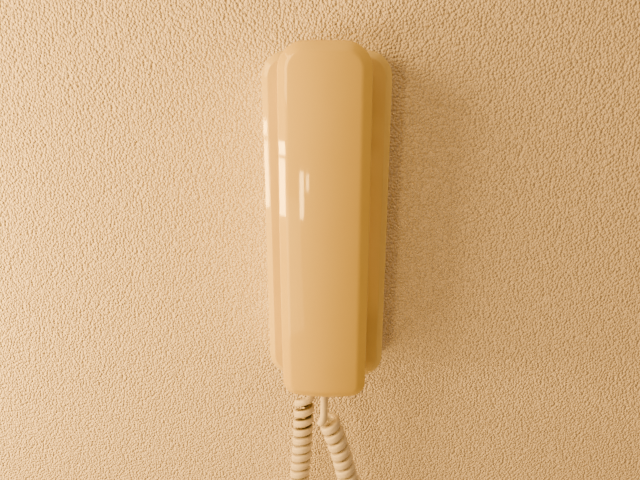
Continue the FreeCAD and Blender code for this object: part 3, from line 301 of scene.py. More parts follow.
@dataclass(frozen=True)
class Finish:
    """One finish of the telephone's materials."""

    slot: Slot
    colour: Colour
    aged: Colour
    roughness: tuple[float, float] = (0.3, 0.4)
    ageing_share: float = 0.5
    dust: float = 0.1
    scuff_and_highlight: float = 0.0
    # how much brighter edges are painted: partly real scuffing from handling, partly painted highlight
    patch_scale: float = 18.0
    bump: float = 0.02 * MM
    metallic: float = 0.0
    stretch: Point = (1.0, 1.0, 1.0)
    sheen: float = 0.0
    # painted shade: the colour that the lead takes deep in the gaps between its curls
    painted_gap_shade: Colour | None = None
    variant: str = ""

    def material(self, effects: Effects) -> bpy.types.Material:
        """Make the finish's material.

        Args:
            effects: the shared node groups.

        Returns:
            The material.
        """
        made = bpy.data.materials.new(self.slot.value + self.variant)
        made.use_nodes = True
        bench = NodeBench(made.node_tree)
        shader = made.node_tree.nodes["Principled BSDF"]
        spot = bench.add("ShaderNodeTexCoord").outputs["Object"]
        vector = bench.add("ShaderNodeMapping", {"Vector": spot, "Scale": self.stretch}).outputs[0]
        ageing = self._group(bench, effects.ageing, vector, {"Patch Scale": self.patch_scale})
        peel = self._group(bench, effects.peel, vector, {})
        share = bench.math("MULTIPLY", ageing.outputs["Patches"], self.ageing_share)
        colour = bench.blend(share, self.colour, self.aged)
        dusty = bench.math("MULTIPLY", ageing.outputs["Dust"], self.dust)
        colour = bench.blend(dusty, colour, DUST)
        # Edges painted brighter: partly real scuffing from handling, partly painted highlight.
        if self.scuff_and_highlight:
            edge_scuff_and_highlight = self._group(bench, effects.edge_scuff_and_highlight, vector, {})
            brightened_share = bench.math("MULTIPLY", edge_scuff_and_highlight.outputs["Wear"], self.scuff_and_highlight)
            colour = bench.blend(brightened_share, colour, tuple(min(1.0, EDGE_BRIGHTENING * part) for part in self.colour))
        # Painted shade: deep in the cord's gaps between curls, the colour goes to the gap colour.
        if self.painted_gap_shade:
            unshaded_share = bench.add("ShaderNodeAttribute", attribute_name=UNSHADED_SHARE)
            colour = bench.blend(unshaded_share.outputs["Fac"], self.painted_gap_shade, colour)
        bump = {"Strength": 1.0, "Distance": self.bump, "Height": peel.outputs["Height"]}
        feeds = {
            "Base Color": colour,
            "Roughness": bench.spread(ageing.outputs["Patches"], 0.0, 1.0, *self.roughness),
            "Normal": bench.add("ShaderNodeBump", bump).outputs[0],
            "Metallic": self.metallic,
            "IOR": PLASTIC_IOR,
            "Sheen Weight": self.sheen,
        }
        bench.fill(shader, feeds)
        return made

    @staticmethod
    def _group(
        bench: NodeBench, tree: bpy.types.NodeTree, vector: object, values: dict[str, float]
    ) -> bpy.types.Node:
        """Place a shared group.

        Args:
            bench: the material's bench.
            tree: the group.
            vector: the coordinates' socket.
            values: the group's own values here.

        Returns:
            The group's node.
        """
        return bench.add("ShaderNodeGroup", {"Vector": vector, **values}, node_tree=tree)


FINISHES = (
    Finish(
        Slot.CREAM, (0.83, 0.655, 0.165), (0.80, 0.61, 0.126), (0.05, 0.08), scuff_and_highlight=0.3, dust=0.04,
        bump=0.004 * MM,
    ),
    # The cord's gap colour is painted shade for the gaps between its curls.
    Finish(
        Slot.CORD, (0.82, 0.78, 0.71), (0.75, 0.67, 0.54), (0.34, 0.46), patch_scale=60.0,
        painted_gap_shade=(0.08, 0.055, 0.03),
    ),
    Finish(Slot.CREAM_RUBBER, (0.76, 0.68, 0.42), (0.68, 0.58, 0.33), (0.5, 0.62), patch_scale=150.0),
    Finish(Slot.BLACK_RUBBER, (0.03, 0.03, 0.03), (0.05, 0.048, 0.045), (0.6, 0.75), patch_scale=90.0),
    Finish(Slot.DARK, (0.06, 0.06, 0.062), (0.085, 0.08, 0.075), (0.42, 0.55), patch_scale=80.0),
    Finish(
        Slot.PAPER, (0.11, 0.095, 0.08), (0.16, 0.14, 0.115), (0.85, 0.95), patch_scale=260.0, bump=0.08 * MM,
        sheen=0.2,
    ),
    Finish(
        Slot.BOARD, (0.33, 0.2, 0.08), (0.24, 0.14, 0.055), (0.35, 0.5), patch_scale=120.0, stretch=(1, 1, 6)
    ),
    Finish(Slot.WIRE, (0.5, 0.44, 0.36), (0.42, 0.36, 0.29), (0.4, 0.5), patch_scale=90.0),
    Finish(
        Slot.STEEL, (0.6, 0.6, 0.58), (0.5, 0.5, 0.47), (0.25, 0.42), patch_scale=130.0, metallic=1.0,
        bump=0.01 * MM,
    ),
    Finish(Slot.BRASS, (0.72, 0.53, 0.22), (0.5, 0.35, 0.14), (0.25, 0.4), patch_scale=200.0, metallic=1.0),
    Finish(
        Slot.IRON, (0.12, 0.12, 0.13), (0.2, 0.16, 0.13), (0.45, 0.6), patch_scale=160.0, metallic=1.0,
        stretch=(1, 14, 1),
    ),
    Finish(
        Slot.ALUMINIUM, (0.74, 0.74, 0.75), (0.62, 0.62, 0.63), (0.25, 0.4), patch_scale=240.0, metallic=1.0,
        stretch=(1, 8, 1),
    ),
)

# Painted fill light: the base is the same plastic as the handset, painted lighter and bluer to stand in for
# fill light on its shaded sides.
CREAM_WITH_PAINTED_FILL = replace(FINISHES[0], colour=(0.88, 0.74, 0.29), aged=(0.85, 0.70, 0.24), variant="_base")


@dataclass
class Workshop:
    """The materials, and the ways in which pieces are made and placed."""

    nodes: dict[str, bpy.types.Object]
    materials: dict[Slot, bpy.types.Material] = field(init=False)
    cream_with_painted_fill: bpy.types.Material = field(init=False)
    flat: float = math.radians(0.3)
    sharp: float = math.radians(25)
    crease: float = math.radians(28)
    edge_segments: int = 3
    evenness: int = 60

    def __post_init__(self) -> None:
        """Make every finish's material."""
        effects = Effects()
        self.materials = {finish.slot: finish.material(effects) for finish in FINISHES}
        self.cream_with_painted_fill = CREAM_WITH_PAINTED_FILL.material(effects)

    def piece(self, name: str, mesh: bpy.types.Mesh, slot: Slot) -> bpy.types.Object:
        """Put a mesh into the scene.

        Args:
            name: the piece's name.
            mesh: its mesh, already in place.
            slot: its material slot.

        Returns:
            The new object.
        """
        mesh.materials.clear()
        mesh.materials.append(self.materials[slot])
        made = bpy.data.objects.new(name, mesh)
        bpy.context.scene.collection.objects.link(made)
        LOG.info("%s: %d faces", name, len(mesh.polygons))
        return made

    def dress(self, node: str, slot: Slot) -> None:
        """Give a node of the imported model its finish.

        Args:
            node: the node's name.
            slot: its material slot.
        """
        mesh = self.nodes[node].data
        mesh.materials.clear()
        mesh.materials.append(self.materials[slot])

    def refined(
        self, node: str, slot: Slot, body: Body, soft: float, wanted: Callable[[Vector], bool]
    ) -> bpy.types.Object:
        """Replace a node by a merged copy with softened edges and even shading.

        Args:
            node: the node's name.
            slot: its material slot.
            body: the body it moves with.
            soft: the softened edges' width, in metres.
            wanted: tells from a point whether edges there are softened.

        Returns:
            The piece that replaces the node.
        """
        mesh = self.nodes[node].data.copy()
        shape = bmesh.new()
        shape.from_mesh(mesh)
        bmesh.ops.remove_doubles(shape, verts=shape.verts, dist=WELD)
        bmesh.ops.dissolve_limit(shape, angle_limit=self.flat, verts=shape.verts, edges=shape.edges)
        sharp = [
            edge
            for edge in shape.edges
            if len(edge.link_faces) == 2
            and edge.calc_face_angle_signed() > self.sharp
            and all(wanted(corner.co) for corner in edge.verts)
        ]
        if sharp and soft:
            bmesh.ops.bevel(
                shape, geom=sharp, offset=soft, segments=self.edge_segments, profile=0.5, affect="EDGES"
            )
        shape.to_mesh(mesh)
        shape.free()
        mesh.shade_smooth()
        mesh.set_sharp_from_angle(angle=self.crease)
        made = self.piece(f"{node}_finished", mesh, slot)
        self.even_shading(made)
        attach(made, body.value)
        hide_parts(node)
        return made

    def even_shading(self, piece: bpy.types.Object) -> None:
        """Let large faces set the shading at their edges.

        Args:
            piece: the piece.
        """
        even = piece.modifiers.new("even_shading", "WEIGHTED_NORMAL")
        even.keep_sharp = True
        even.weight = self.evenness


@dataclass
class HandsetShell:
    """The crowned, bevelled front half of the handset."""

    top: float = 102 * MM
    bottom: float = -97 * MM
    top_width: float = 47.4 * MM
    bottom_width: float = 48.6 * MM
    corner: float = 14 * MM
    foot_corner: float = 8 * MM
    front: float = 54.6 * MM
    split: float = 36 * MM
    wall: float = 2.2 * MM
    bevel_face: float = 4.8 * MM
    bevel_side: float = 2.4 * MM
    crown_radius: float = 75 * MM
    arch_radius: float = 1100 * MM
    edge_round: float = 0.9 * MM
    shoulder_round: float = 1.3 * MM
    least_corner: float = 0.4 * MM
    inner_side: float = 0.4
    inner_shoulder: float = 0.6
    arc_steps: int = 12
    long_steps: int = 44
    short_steps: int = 12
    round_shares: tuple[float, ...] = (0.0, 0.2, 0.4, 0.6, 0.8, 1.0)
    face_shares: tuple[float, ...] = (0.05, 0.13, 0.24, 0.38, 0.54, 0.7, 0.86, 1.0)

    def outline(self, inset: float) -> np.ndarray:
        """Walk round the handset's outline.

        Args:
            inset: how far inside the outer edge.

        Returns:
            Points (x, z), the same count and order for every inset.
        """
        middle = (self.top + self.bottom) / 2
        length = self.top - self.bottom
        points: list[tuple[float, float]] = []
        for start, side, end in ((0, 1, 1), (90, -1, 1), (180, -1, -1), (270, 1, -1)):
            radius = max((self.corner if end > 0 else self.foot_corner) - inset, self.least_corner)
            height = middle + end * (length / 2 - inset - radius)
            half = self.half_width(height) - inset - radius
            for step in range(self.arc_steps + 1):
                turn = math.radians(start + 90 * step / self.arc_steps)
                points.append((side * half + radius * math.cos(turn), height + radius * math.sin(turn)))
        arcs = np.array(points).reshape(4, self.arc_steps + 1, 2)
        runs = (self.short_steps, self.long_steps, self.short_steps, self.long_steps)
        walk = []
        for arc, after, steps in zip(arcs, np.roll(arcs, -1, axis=0), runs):
            share = np.linspace(0, 1, steps + 1)[1:-1, None]
            walk += [arc, arc[-1] + (after[0] - arc[-1]) * share]
        return np.concatenate(walk)

    def half_width(self, height: float) -> float:
        """Give half the handset's width at a height."""
        share = (height - self.bottom) / (self.top - self.bottom)
        return (self.bottom_width + (self.top_width - self.bottom_width) * share) / 2

    def crown(self, spots: np.ndarray) -> np.ndarray:
        """Work out how far the crowned face stands from the wall.

        Args:
            spots: points (x, z).

        Returns:
            The face's distance from the wall at each point.
        """
        middle = (self.top + self.bottom) / 2
        across = self.crown_radius - np.sqrt(self.crown_radius**2 - spots[:, 0] ** 2)
        reach = self.arch_radius - across
        return self.front - self.arch_radius + np.sqrt(reach**2 - (spots[:, 1] - middle) ** 2)

    def rings(self, thick: float) -> list[np.ndarray]:
        """Make the rings of the outer skin, or of the inner one.

        Args:
            thick: how far inside the outer skin.

        Returns:
            Rings of points (x, y, z) from the joint to the spine of the face.
        """
        edge = self.outline(thick)
        side = self._at(edge, self.crown(self.outline(0)) - self.bevel_side - thick * self.inner_side)
        bevel_end = self.bevel_face + thick * self.inner_shoulder
        shoulder = self.outline(bevel_end)
        face = self._at(shoulder, self.crown(shoulder) - thick)
        beyond = self.outline(bevel_end + self.shoulder_round)
        inward = self._at(beyond, self.crown(beyond) - thick)
        rim = self._at(edge, np.full(len(edge), self.split))
        made = [rim, (rim + side) / 2]
        made += self._rounded(rim, side, face, self.edge_round)
        made += [(side + face) / 2]
        rounded = self._rounded(side, face, inward, self.shoulder_round)
        made += rounded
        start = rounded[-1][:, [0, 2]]
        reach = self.top_width / 2
        heights = np.clip(start[:, 1], self.bottom + reach, self.top - reach)
        spine = np.stack([np.zeros(len(start)), heights], axis=1)
        for share in self.face_shares:
            spots = start + (spine - start) * share
            made.append(self._at(spots, self.crown(spots) - thick))
        return made

    def _rounded(
        self, before: np.ndarray, corner: np.ndarray, after: np.ndarray, reach: float
    ) -> list[np.ndarray]:
        """Round the edge at a ring between two others.

        Args:
            before: the ring that comes before.
            corner: the ring on the sharp edge.
            after: the ring that comes after.
            reach: how far the rounding reaches from the edge.

        Returns:
            The rings that stand for the edge.
        """
        start = corner + self._unit(before - corner) * reach
        end = corner + self._unit(after - corner) * reach
        return [start * (1 - t) ** 2 + corner * 2 * t * (1 - t) + end * t**2 for t in self.round_shares]

    @staticmethod
    def _unit(rows: np.ndarray) -> np.ndarray:
        """Give each row the length one."""
        return rows / np.linalg.norm(rows, axis=1, keepdims=True)

    @staticmethod
    def _at(spots: np.ndarray, depth: np.ndarray) -> np.ndarray:
        """Set points (x, z) at a distance from the wall."""
        return np.stack([spots[:, 0], -depth, spots[:, 1]], axis=1)

    def build(self, shop: Workshop) -> None:
        """Make the shell and put it on the handset.

        Args:
            shop: the workshop.
        """
        rings = self.rings(self.wall)[::-1] + self.rings(0.0)
        count = len(rings[0])
        shape = bmesh.new()
        rows = [[shape.verts.new(point) for point in ring] for ring in rings]
        for row, after in zip(rows, rows[1:]):
            for index in range(count):
                ahead = (index + 1) % count
                shape.faces.new((row[index], row[ahead], after[ahead], after[index]))
        bmesh.ops.remove_doubles(shape, verts=shape.verts, dist=WELD / 2)
        bmesh.ops.recalc_face_normals(shape, faces=shape.faces)
        mesh = bpy.data.meshes.new("handset_shell_finished")
        shape.to_mesh(mesh)
        shape.free()
        mesh.shade_smooth()
        made = shop.piece("handset_shell_finished", mesh, Slot.CREAM)
        shop.even_shading(made)
        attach(made, Body.HANDSET.value)
        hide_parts("handset_shell")


@dataclass
class CurlyCord:
    """The curly cord that loops below the base, as two halves that meet at the loop's lowest point."""

    lead_radius: float = 2.3 * MM
    drawn_radius: float = 4.6 * MM
    slack_radius: float = 5.0 * MM
    turns: int = 48
    points_per_turn: int = 16
    steps: int = 3
    route_steps: int = 24
    sides: int = 20
    crease: float = math.radians(60)
    first_side: Point = (0.31, 0.87, 0.39)
    squareness: float = 4.0
    pressed_along: float = 2.42 * MM
    pressed_across: float = 2.1 * MM
    pressed_from: float = 3 * MM
    opened: float = 0.42
    opened_run: float = 14 * MM
    lean_side: float = 0.1
    lean_front: float = 0.3
    lean_run: float = 60 * MM
    lean_fade: float = 80 * MM
    hidden_below: float = 0.2
    # The next five numbers set the painted shade in the gaps between the curls: where it starts and ends
    # across the lead, how light it is elsewhere, and how far it stays strong from the base.
    open_above: float = 0.68
    gap_shade: float = 0.3
    dark_run: float = 24 * MM
    dark_fade: float = 14 * MM
    base_exit: Point = (-10.2, -12.0, -98.3)
    handset_exit: Point = (0.0, -40.2, -98.1)
    base_tail: tuple[Point, ...] = (
        (-10.2, -12.0, -93.8),
        (-10.2, -12.0, -98.3),
        (-10.2, -12.0, -104.0),
        (-10.2, -12.1, -109.5),
        (-10.3, -13.2, -114.6),
    )
    handset_tail: tuple[Point, ...] = (
        (-2.4, -39.0, -121.6),
        (-1.1, -41.0, -119.4),
        (-0.1, -40.6, -114.5),
        (0.0, -40.2, -109.0),
        (0.0, -40.2, -104.0),
        (0.0, -40.2, -98.1),
    )
    route: tuple[Point, ...] = (
        (-13.8, -16.3, -118.0),
        (-14.5, -16.3, -132.0),
        (-15.8, -16.0, -155.0),
        (-17.5, -16.0, -180.0),
        (-21.5, -16.6, -210.0),
        (-26.5, -18.5, -236.0),
        (-18.5, -22.0, -259.0),
        (3.0, -26.0, -268.5),
        (24.5, -30.5, -259.0),
        (31.5, -33.5, -235.0),
        (27.0, -35.5, -210.0),
        (20.0, -36.2, -183.0),
        (14.0, -36.2, -160.0),
        (10.4, -36.2, -144.0),
        (5.8, -36.0, -130.5),
        (2.5, -35.8, -121.0),
    )

    @staticmethod
    def smooth_line(name: str, points: np.ndarray, steps: int) -> np.ndarray:
        """Read the points of a smooth spline.

        Args:
            name: a name for the spline.
            points: its control points.
            steps: how many points it gives for each control point.

        Returns:
            Points along the spline.
        """
        curve = bpy.data.curves.new(name, "CURVE")
        curve.dimensions = "3D"
        spline = curve.splines.new("NURBS")
        spline.points.add(len(points) - 1)
        for spot, point in zip(spline.points, points):
            spot.co = (*point, 1.0)
        spline.order_u = 3
        spline.use_endpoint_u = True
        spline.resolution_u = steps
        holder = bpy.data.objects.new(name, curve)
        bpy.context.scene.collection.objects.link(holder)
        mesh = bpy.data.meshes.new_from_object(holder)
        line = np.array([vertex.co for vertex in mesh.vertices], float)
        bpy.data.objects.remove(holder)
        bpy.data.curves.remove(curve)
        bpy.data.meshes.remove(mesh)
        return line

    @staticmethod
    def travelled(line: np.ndarray) -> np.ndarray:
        """Give the distance along a line at each of its points."""
        return np.concatenate([[0.0], np.cumsum(np.linalg.norm(np.diff(line, axis=0), axis=1))])

    @staticmethod
    def headings(line: np.ndarray) -> np.ndarray:
        """Give the direction of a line at each of its points."""
        ahead = np.gradient(line, axis=0)
        return ahead / np.linalg.norm(ahead, axis=1, keepdims=True)

    @staticmethod
    def frames(line: np.ndarray, side: np.ndarray) -> tuple[np.ndarray, np.ndarray]:
        """Carry a side direction along a line without twist.

        Args:
            line: points along the line.
            side: the direction at its start.

        Returns:
            The side direction and the direction across it, at each point.
        """
        ahead = CurlyCord.headings(line)
        sides = []
        for direction in ahead:
            side = side - direction * side.dot(direction)
            side = side / np.linalg.norm(side)
            sides.append(side)
        sides = np.array(sides)
        return sides, np.cross(ahead, sides)

    def coil_axis(self) -> np.ndarray:
        """Give points along the middle of the coil, from the base to the handset."""
        return self.smooth_line("curl_route", np.array(self.route) * MM, self.route_steps)

    def control_points(self) -> np.ndarray:
        """Lay out the cord's own control points: tail, curls, tail.

        Returns:
            The points, from the base to the handset.
        """
        middle = self.coil_axis()
        distance = self.travelled(middle)
        spaced = np.linspace(0, distance[-1], self.turns * self.points_per_turn + 1)
        middle = np.stack([np.interp(spaced, distance, middle[:, axis]) for axis in range(3)], axis=1)
        side, across = self.frames(middle, np.array((1.0, 0.0, 0.0)))
        rate = 1 / (1 + self.opened * np.exp(-spaced / self.opened_run))
        turned = np.concatenate([[0.0], np.cumsum(rate[1:] + rate[:-1])])
        turn = (2 * np.pi * self.turns * turned / turned[-1])[:, None]
        leaning = np.clip(1 - (spaced - self.lean_run) / self.lean_fade, 0.0, 1.0)[:, None]
        raised = leaning * (self.lean_side * np.cos(turn) + self.lean_front * np.sin(turn))
        ring = side * np.cos(turn) + across * np.sin(turn) - self.headings(middle) * raised
        slack = np.sin(np.pi * spaced / spaced[-1])[:, None]
        curls = middle + (self.drawn_radius + slack * (self.slack_radius - self.drawn_radius)) * ring
        return np.concatenate([np.array(self.base_tail) * MM, curls, np.array(self.handset_tail) * MM])

    def pressed_frames(self, line: np.ndarray) -> tuple[np.ndarray, np.ndarray, np.ndarray, np.ndarray]:
        """Turn the lead's flats along the coil, and let them lie as they come where the lead is straight.

        Args:
            line: points along the lead.

        Returns:
            The direction along the coil, the direction across it, how much the lead is pressed, and how dark
            the painted shade in the gaps is, at each point. The last is below zero where the direction across
            points inwards.
        """
        ahead = self.headings(line)
        axis = self.coil_axis()
        nearest = np.argmin(np.linalg.norm(line[:, None] - axis[None], axis=2), axis=1)
        from_base = self.travelled(axis)[nearest]
        from_ends = np.minimum(from_base, self.travelled(axis)[-1] - from_base)
        pressed = np.clip(from_ends / self.pressed_from, 0.0, 1.0)
        along = self.headings(axis)[nearest]
        along -= ahead * np.sum(along * ahead, axis=1, keepdims=True)
        side = np.array(self.first_side)
        sides = []
        for direction, wanted, pull in zip(ahead, along, pressed):
            side = side - direction * side.dot(direction)
            side = side / np.linalg.norm(side)
            side = side * (1 - pull) + wanted * pull * (1 if side.dot(wanted) >= 0 else -1)
            side = side / np.linalg.norm(side)
            sides.append(side)
        sides = np.array(sides)
        across = np.cross(ahead, sides)
        # Painted shade in the gaps: strongest near the base, where the curls hang open, lighter further along.
        dark = np.clip(1 - (from_base - self.dark_run) / self.dark_fade, self.gap_shade, 1.0)
        dark *= np.where(np.sum(across * (line - axis[nearest]), axis=1) >= 0, 1.0, -1.0)
        return sides, across, pressed, dark

    def tube(self, name: str, line: np.ndarray) -> bpy.types.Mesh:
        """Sweep the lead along a line, with closed ends: round where straight, pressed where coiled.

        Args:
            name: the mesh's name.
            line: the points that it follows.

        Returns:
            The mesh.
        """
        side, across, coiled, dark = self.pressed_frames(line)
        turn = 2 * np.pi * np.arange(self.sides) / self.sides
        flats = np.abs(np.cos(turn)) ** self.squareness + np.abs(np.sin(turn)) ** self.squareness
        corner = flats ** (-1 / self.squareness)
        fullness = 1 + coiled[:, None] * (corner - 1)
        width = self.lead_radius + coiled * (self.pressed_along - self.lead_radius)
        depth = self.lead_radius + coiled * (self.pressed_across - self.lead_radius)
        rings = (
            line[:, None, :]
            + side[:, None, :] * (width[:, None] * fullness * np.cos(turn))[:, :, None]
            + across[:, None, :] * (depth[:, None] * fullness * np.sin(turn))[:, :, None]
        )
        faces = []
        for row in range(len(line) - 1):
            for index in range(self.sides):
                ahead = (index + 1) % self.sides
                here, there = row * self.sides, (row + 1) * self.sides
                faces.append((here + index, here + ahead, there + ahead, there + index))
        last = (len(line) - 1) * self.sides
        faces.append(tuple(range(self.sides))[::-1])
        faces.append(tuple(range(last, last + self.sides)))
        mesh = bpy.data.meshes.new(name)
        mesh.from_pydata(rings.reshape(-1, 3).tolist(), [], faces)
        # Painted shade: the mask darkens the faces of the lead that look into the gaps between curls.
        facing = np.sign(dark)[:, None] * np.sin(turn)
        facing = (facing - self.hidden_below) / (self.open_above - self.hidden_below)
        unshaded_share = 1 - (coiled * np.abs(dark))[:, None] * (1 - np.clip(facing, 0.0, 1.0))
        layer = mesh.attributes.new(UNSHADED_SHARE, "FLOAT", "POINT")
        layer.data.foreach_set("value", unshaded_share.reshape(-1))
        mesh.shade_smooth()
        mesh.set_sharp_from_angle(angle=self.crease)
        return mesh

    def build(self, shop: Workshop) -> None:
        """Args:
            shop: the workshop.
        """
        line = self.smooth_line("curly_cord_line", self.control_points(), self.steps)
        low = int(np.argmin(self.travelled(line) < self.travelled(line)[-1] * self.lowest_share()))
        halves = (
            ("curly_cord_base_half", line[: low + 1], Body.BASE, self.base_exit),
            ("curly_cord_handset_half", line[low:][::-1], Body.HANDSET, self.handset_exit),
        )
        for name, path, body, way_out in halves:
            piece = shop.piece(name, self.tube(name, path), Slot.CORD)
            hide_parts("curly_cord")
            if body is Body.BASE:
                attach(piece, body.value)
            else:
                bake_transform(piece)

    def lowest_share(self) -> float:
        """Find where the coil hangs lowest.

        Returns:
            The share of its route that lies before that point.
        """
        middle = self.coil_axis()
        distance = self.travelled(middle)
        return float(distance[int(np.argmin(middle[:, 2]))] / distance[-1])


@dataclass
class ScrewSet:
    """Cross-headed screws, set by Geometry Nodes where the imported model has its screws."""

    head_height: float = 1.3 * MM
    shank_radius: float = 1.4 * MM
    crown: float = 0.4 * MM
    recess_width: float = 0.7 * MM
    recess_depth: float = 0.8 * MM
    recess_reach: float = 1.15
    crease: float = math.radians(35)
    bite: float = 0.2 * MM
    sides: int = 36
    rings: int = 5
    tree: bpy.types.NodeTree = field(init=False)

    def __post_init__(self) -> None:
        """Make the node tree once for all sets."""
        self.tree = self._screw_tree()

    def _screw_tree(self) -> bpy.types.NodeTree:
        """Make the tree that sets a screw on each point, with its head towards the wall.

        Returns:
            The node tree.
        """
        tree = bpy.data.node_groups.new("screw_set", "GeometryNodeTree")
        tree.interface.new_socket("Places", in_out="INPUT", socket_type="NodeSocketGeometry")
        head = ("Head radius", "Head height", "Crown", "Recess width", "Recess depth")
        for name in (*head, "Shank radius", "Length"):
            tree.interface.new_socket(name, in_out="INPUT", socket_type="NodeSocketFloat")
        tree.interface.new_socket("Finish", in_out="INPUT", socket_type="NodeSocketMaterial")
        tree.interface.new_socket("Screws", in_out="OUTPUT", socket_type="NodeSocketGeometry")
        bench = NodeBench(tree)
        given = bench.add("NodeGroupInput").outputs
        joined = bench.add("GeometryNodeJoinGeometry")
        for part in (self._shank(bench, given), self._head(bench, given)):
            bench.feed(joined.inputs[0], part)
        upright = (-math.pi / 2, 0.0, 0.0)
        placed = bench.add(
            "GeometryNodeInstanceOnPoints",
            {"Points": given["Places"], "Instance": joined.outputs[0], "Rotation": upright},
        )
        real = bench.add("GeometryNodeRealizeInstances", {0: placed.outputs[0]})
        dressed = bench.add(
            "GeometryNodeSetMaterial", {"Geometry": real.outputs[0], "Material": given["Finish"]}
        )
        bench.add("NodeGroupOutput", {0: dressed.outputs[0]})
        return tree

    def _cylinder(
        self, bench: NodeBench, radius: object, depth: object, top: object
    ) -> tuple[object, object]:
        """Add an upright cylinder.

        Args:
            bench: the tree's bench.
            radius: its radius.
            depth: its height.
            top: how high its upper end stands.

        Returns:
            The sockets of the mesh and of the selection of its upper end.
        """
        sizes = {"Vertices": self.sides, "Fill Segments": self.rings, "Radius": radius, "Depth": depth}
        made = bench.add("GeometryNodeMeshCylinder", sizes)
        middle = bench.math("SUBTRACT", top, bench.math("MULTIPLY", depth, 0.5))
        height = bench.add("ShaderNodeCombineXYZ", {"Z": middle}).outputs[0]
        moved = bench.add("GeometryNodeTransform", {"Geometry": made.outputs["Mesh"], "Translation": height})
        return moved.outputs[0], made.outputs["Top"]

    def _shank(self, bench: NodeBench, given: bpy.types.NodeOutputs) -> bpy.types.NodeSocket:
        """Add the shank, which bites a little into the head.

        Args:
            bench: the tree's bench.
            given: the tree's inputs.

        Returns:
            The shank's mesh.
        """
        top = bench.math("SUBTRACT", self.bite, given["Head height"])
        depth = bench.math("ADD", given["Length"], top)
        return self._cylinder(bench, given["Shank radius"], depth, top)[0]

    def _head(self, bench: NodeBench, given: bpy.types.NodeOutputs) -> bpy.types.NodeSocket:
        """Add the crowned head, with a cross cut into it.

        Args:
            bench: the tree's bench.
            given: the tree's inputs.

        Returns:
            The head's mesh.
        """
        blank, top = self._cylinder(bench, given["Head radius"], given["Head height"], 0.0)
        place = bench.add("GeometryNodeInputPosition").outputs[0]
        spot = bench.add("ShaderNodeSeparateXYZ", {0: place}).outputs
        square = bench.math("ADD", bench.math("POWER", spot["X"], 2.0), bench.math("POWER", spot["Y"], 2.0))
        share = bench.math("DIVIDE", square, bench.math("POWER", given["Head radius"], 2.0))
        fall = bench.math("MULTIPLY", bench.math("MULTIPLY", share, -1.0), given["Crown"])
        drop = bench.add("ShaderNodeCombineXYZ", {"Z": fall}).outputs[0]
        crowned = bench.add("GeometryNodeSetPosition", {"Geometry": blank, "Selection": top, "Offset": drop})
        cut = bench.add("GeometryNodeMeshBoolean", {"Mesh 1": crowned.outputs[0]}, operation="DIFFERENCE")
        for long_side, short_side in (("X", "Y"), ("Y", "X")):
            sizes = {
                long_side: bench.math("MULTIPLY", given["Head radius"], self.recess_reach),
                short_side: given["Recess width"],
                "Z": bench.math("MULTIPLY", given["Recess depth"], 2.0),
            }
            size = bench.add("ShaderNodeCombineXYZ", sizes).outputs[0]
            bar = bench.add("GeometryNodeMeshCube", {"Size": size})
            bench.feed(cut.inputs["Mesh 2"], bar.outputs["Mesh"])
        return cut.outputs["Mesh"]

    @staticmethod
    def _boxes(source: bpy.types.Mesh) -> list[tuple[np.ndarray, np.ndarray]]:
        """Find the box of each loose part of a mesh.

        Args:
            source: the mesh.

        Returns:
            The lower and upper corner of each part, from left to right, so that every run gives one order.
        """
        shape = bmesh.new()
        shape.from_mesh(source)
        bmesh.ops.remove_doubles(shape, verts=shape.verts, dist=WELD)
        waiting = set(shape.verts)
        boxes = []
        while waiting:
            part = {waiting.pop()}
            frontier = set(part)
            while frontier:
                reached = {edge.other_vert(corner) for corner in frontier for edge in corner.link_edges}
                frontier = reached - part
                part |= frontier
            waiting -= part
            spots = np.array([corner.co for corner in part])
            boxes.append((spots.min(axis=0), spots.max(axis=0)))
        shape.free()
        return sorted(boxes, key=lambda box: box[0].tolist())

    def build(self, shop: Workshop, node: str, slot: Slot, body: Body) -> None:
        """Replace a node of screws by one piece.

        Args:
            shop: the workshop.
            node: the node's name.
            slot: its material slot.
            body: the body it moves with.
        """
        boxes = self._boxes(shop.nodes[node].data)
        seats = [((low[0] + high[0]) / 2, high[1], (low[2] + high[2]) / 2) for low, high in boxes]
        low, high = boxes[0]
        sizes = {
            "Head radius": float(high[0] - low[0]) / 2,
            "Head height": self.head_height,
            "Shank radius": self.shank_radius,
            "Length": float(high[1] - low[1]),
            "Crown": self.crown,
            "Recess width": self.recess_width,
            "Recess depth": self.recess_depth,
            "Finish": shop.materials[slot],
        }
        places = bpy.data.meshes.new(f"{node}_places")
        places.from_pydata(seats, [], [])
        holder = bpy.data.objects.new(f"{node}_places", places)
        bpy.context.scene.collection.objects.link(holder)
        modifier = holder.modifiers.new("screws", "NODES")
        modifier.node_group = self.tree
        for socket in self.tree.interface.items_tree:
            if socket.name in sizes:
                modifier[socket.identifier] = sizes[socket.name]
        mesh = bpy.data.meshes.new_from_object(holder.evaluated_get(bpy.context.evaluated_depsgraph_get()))
        holder.modifiers.remove(modifier)
        bpy.data.objects.remove(holder)
        mesh.shade_smooth()
        mesh.set_sharp_from_angle(angle=self.crease)
        made = shop.piece(f"{node}_finished", mesh, slot)
        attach(made, body.value)
        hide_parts(node)


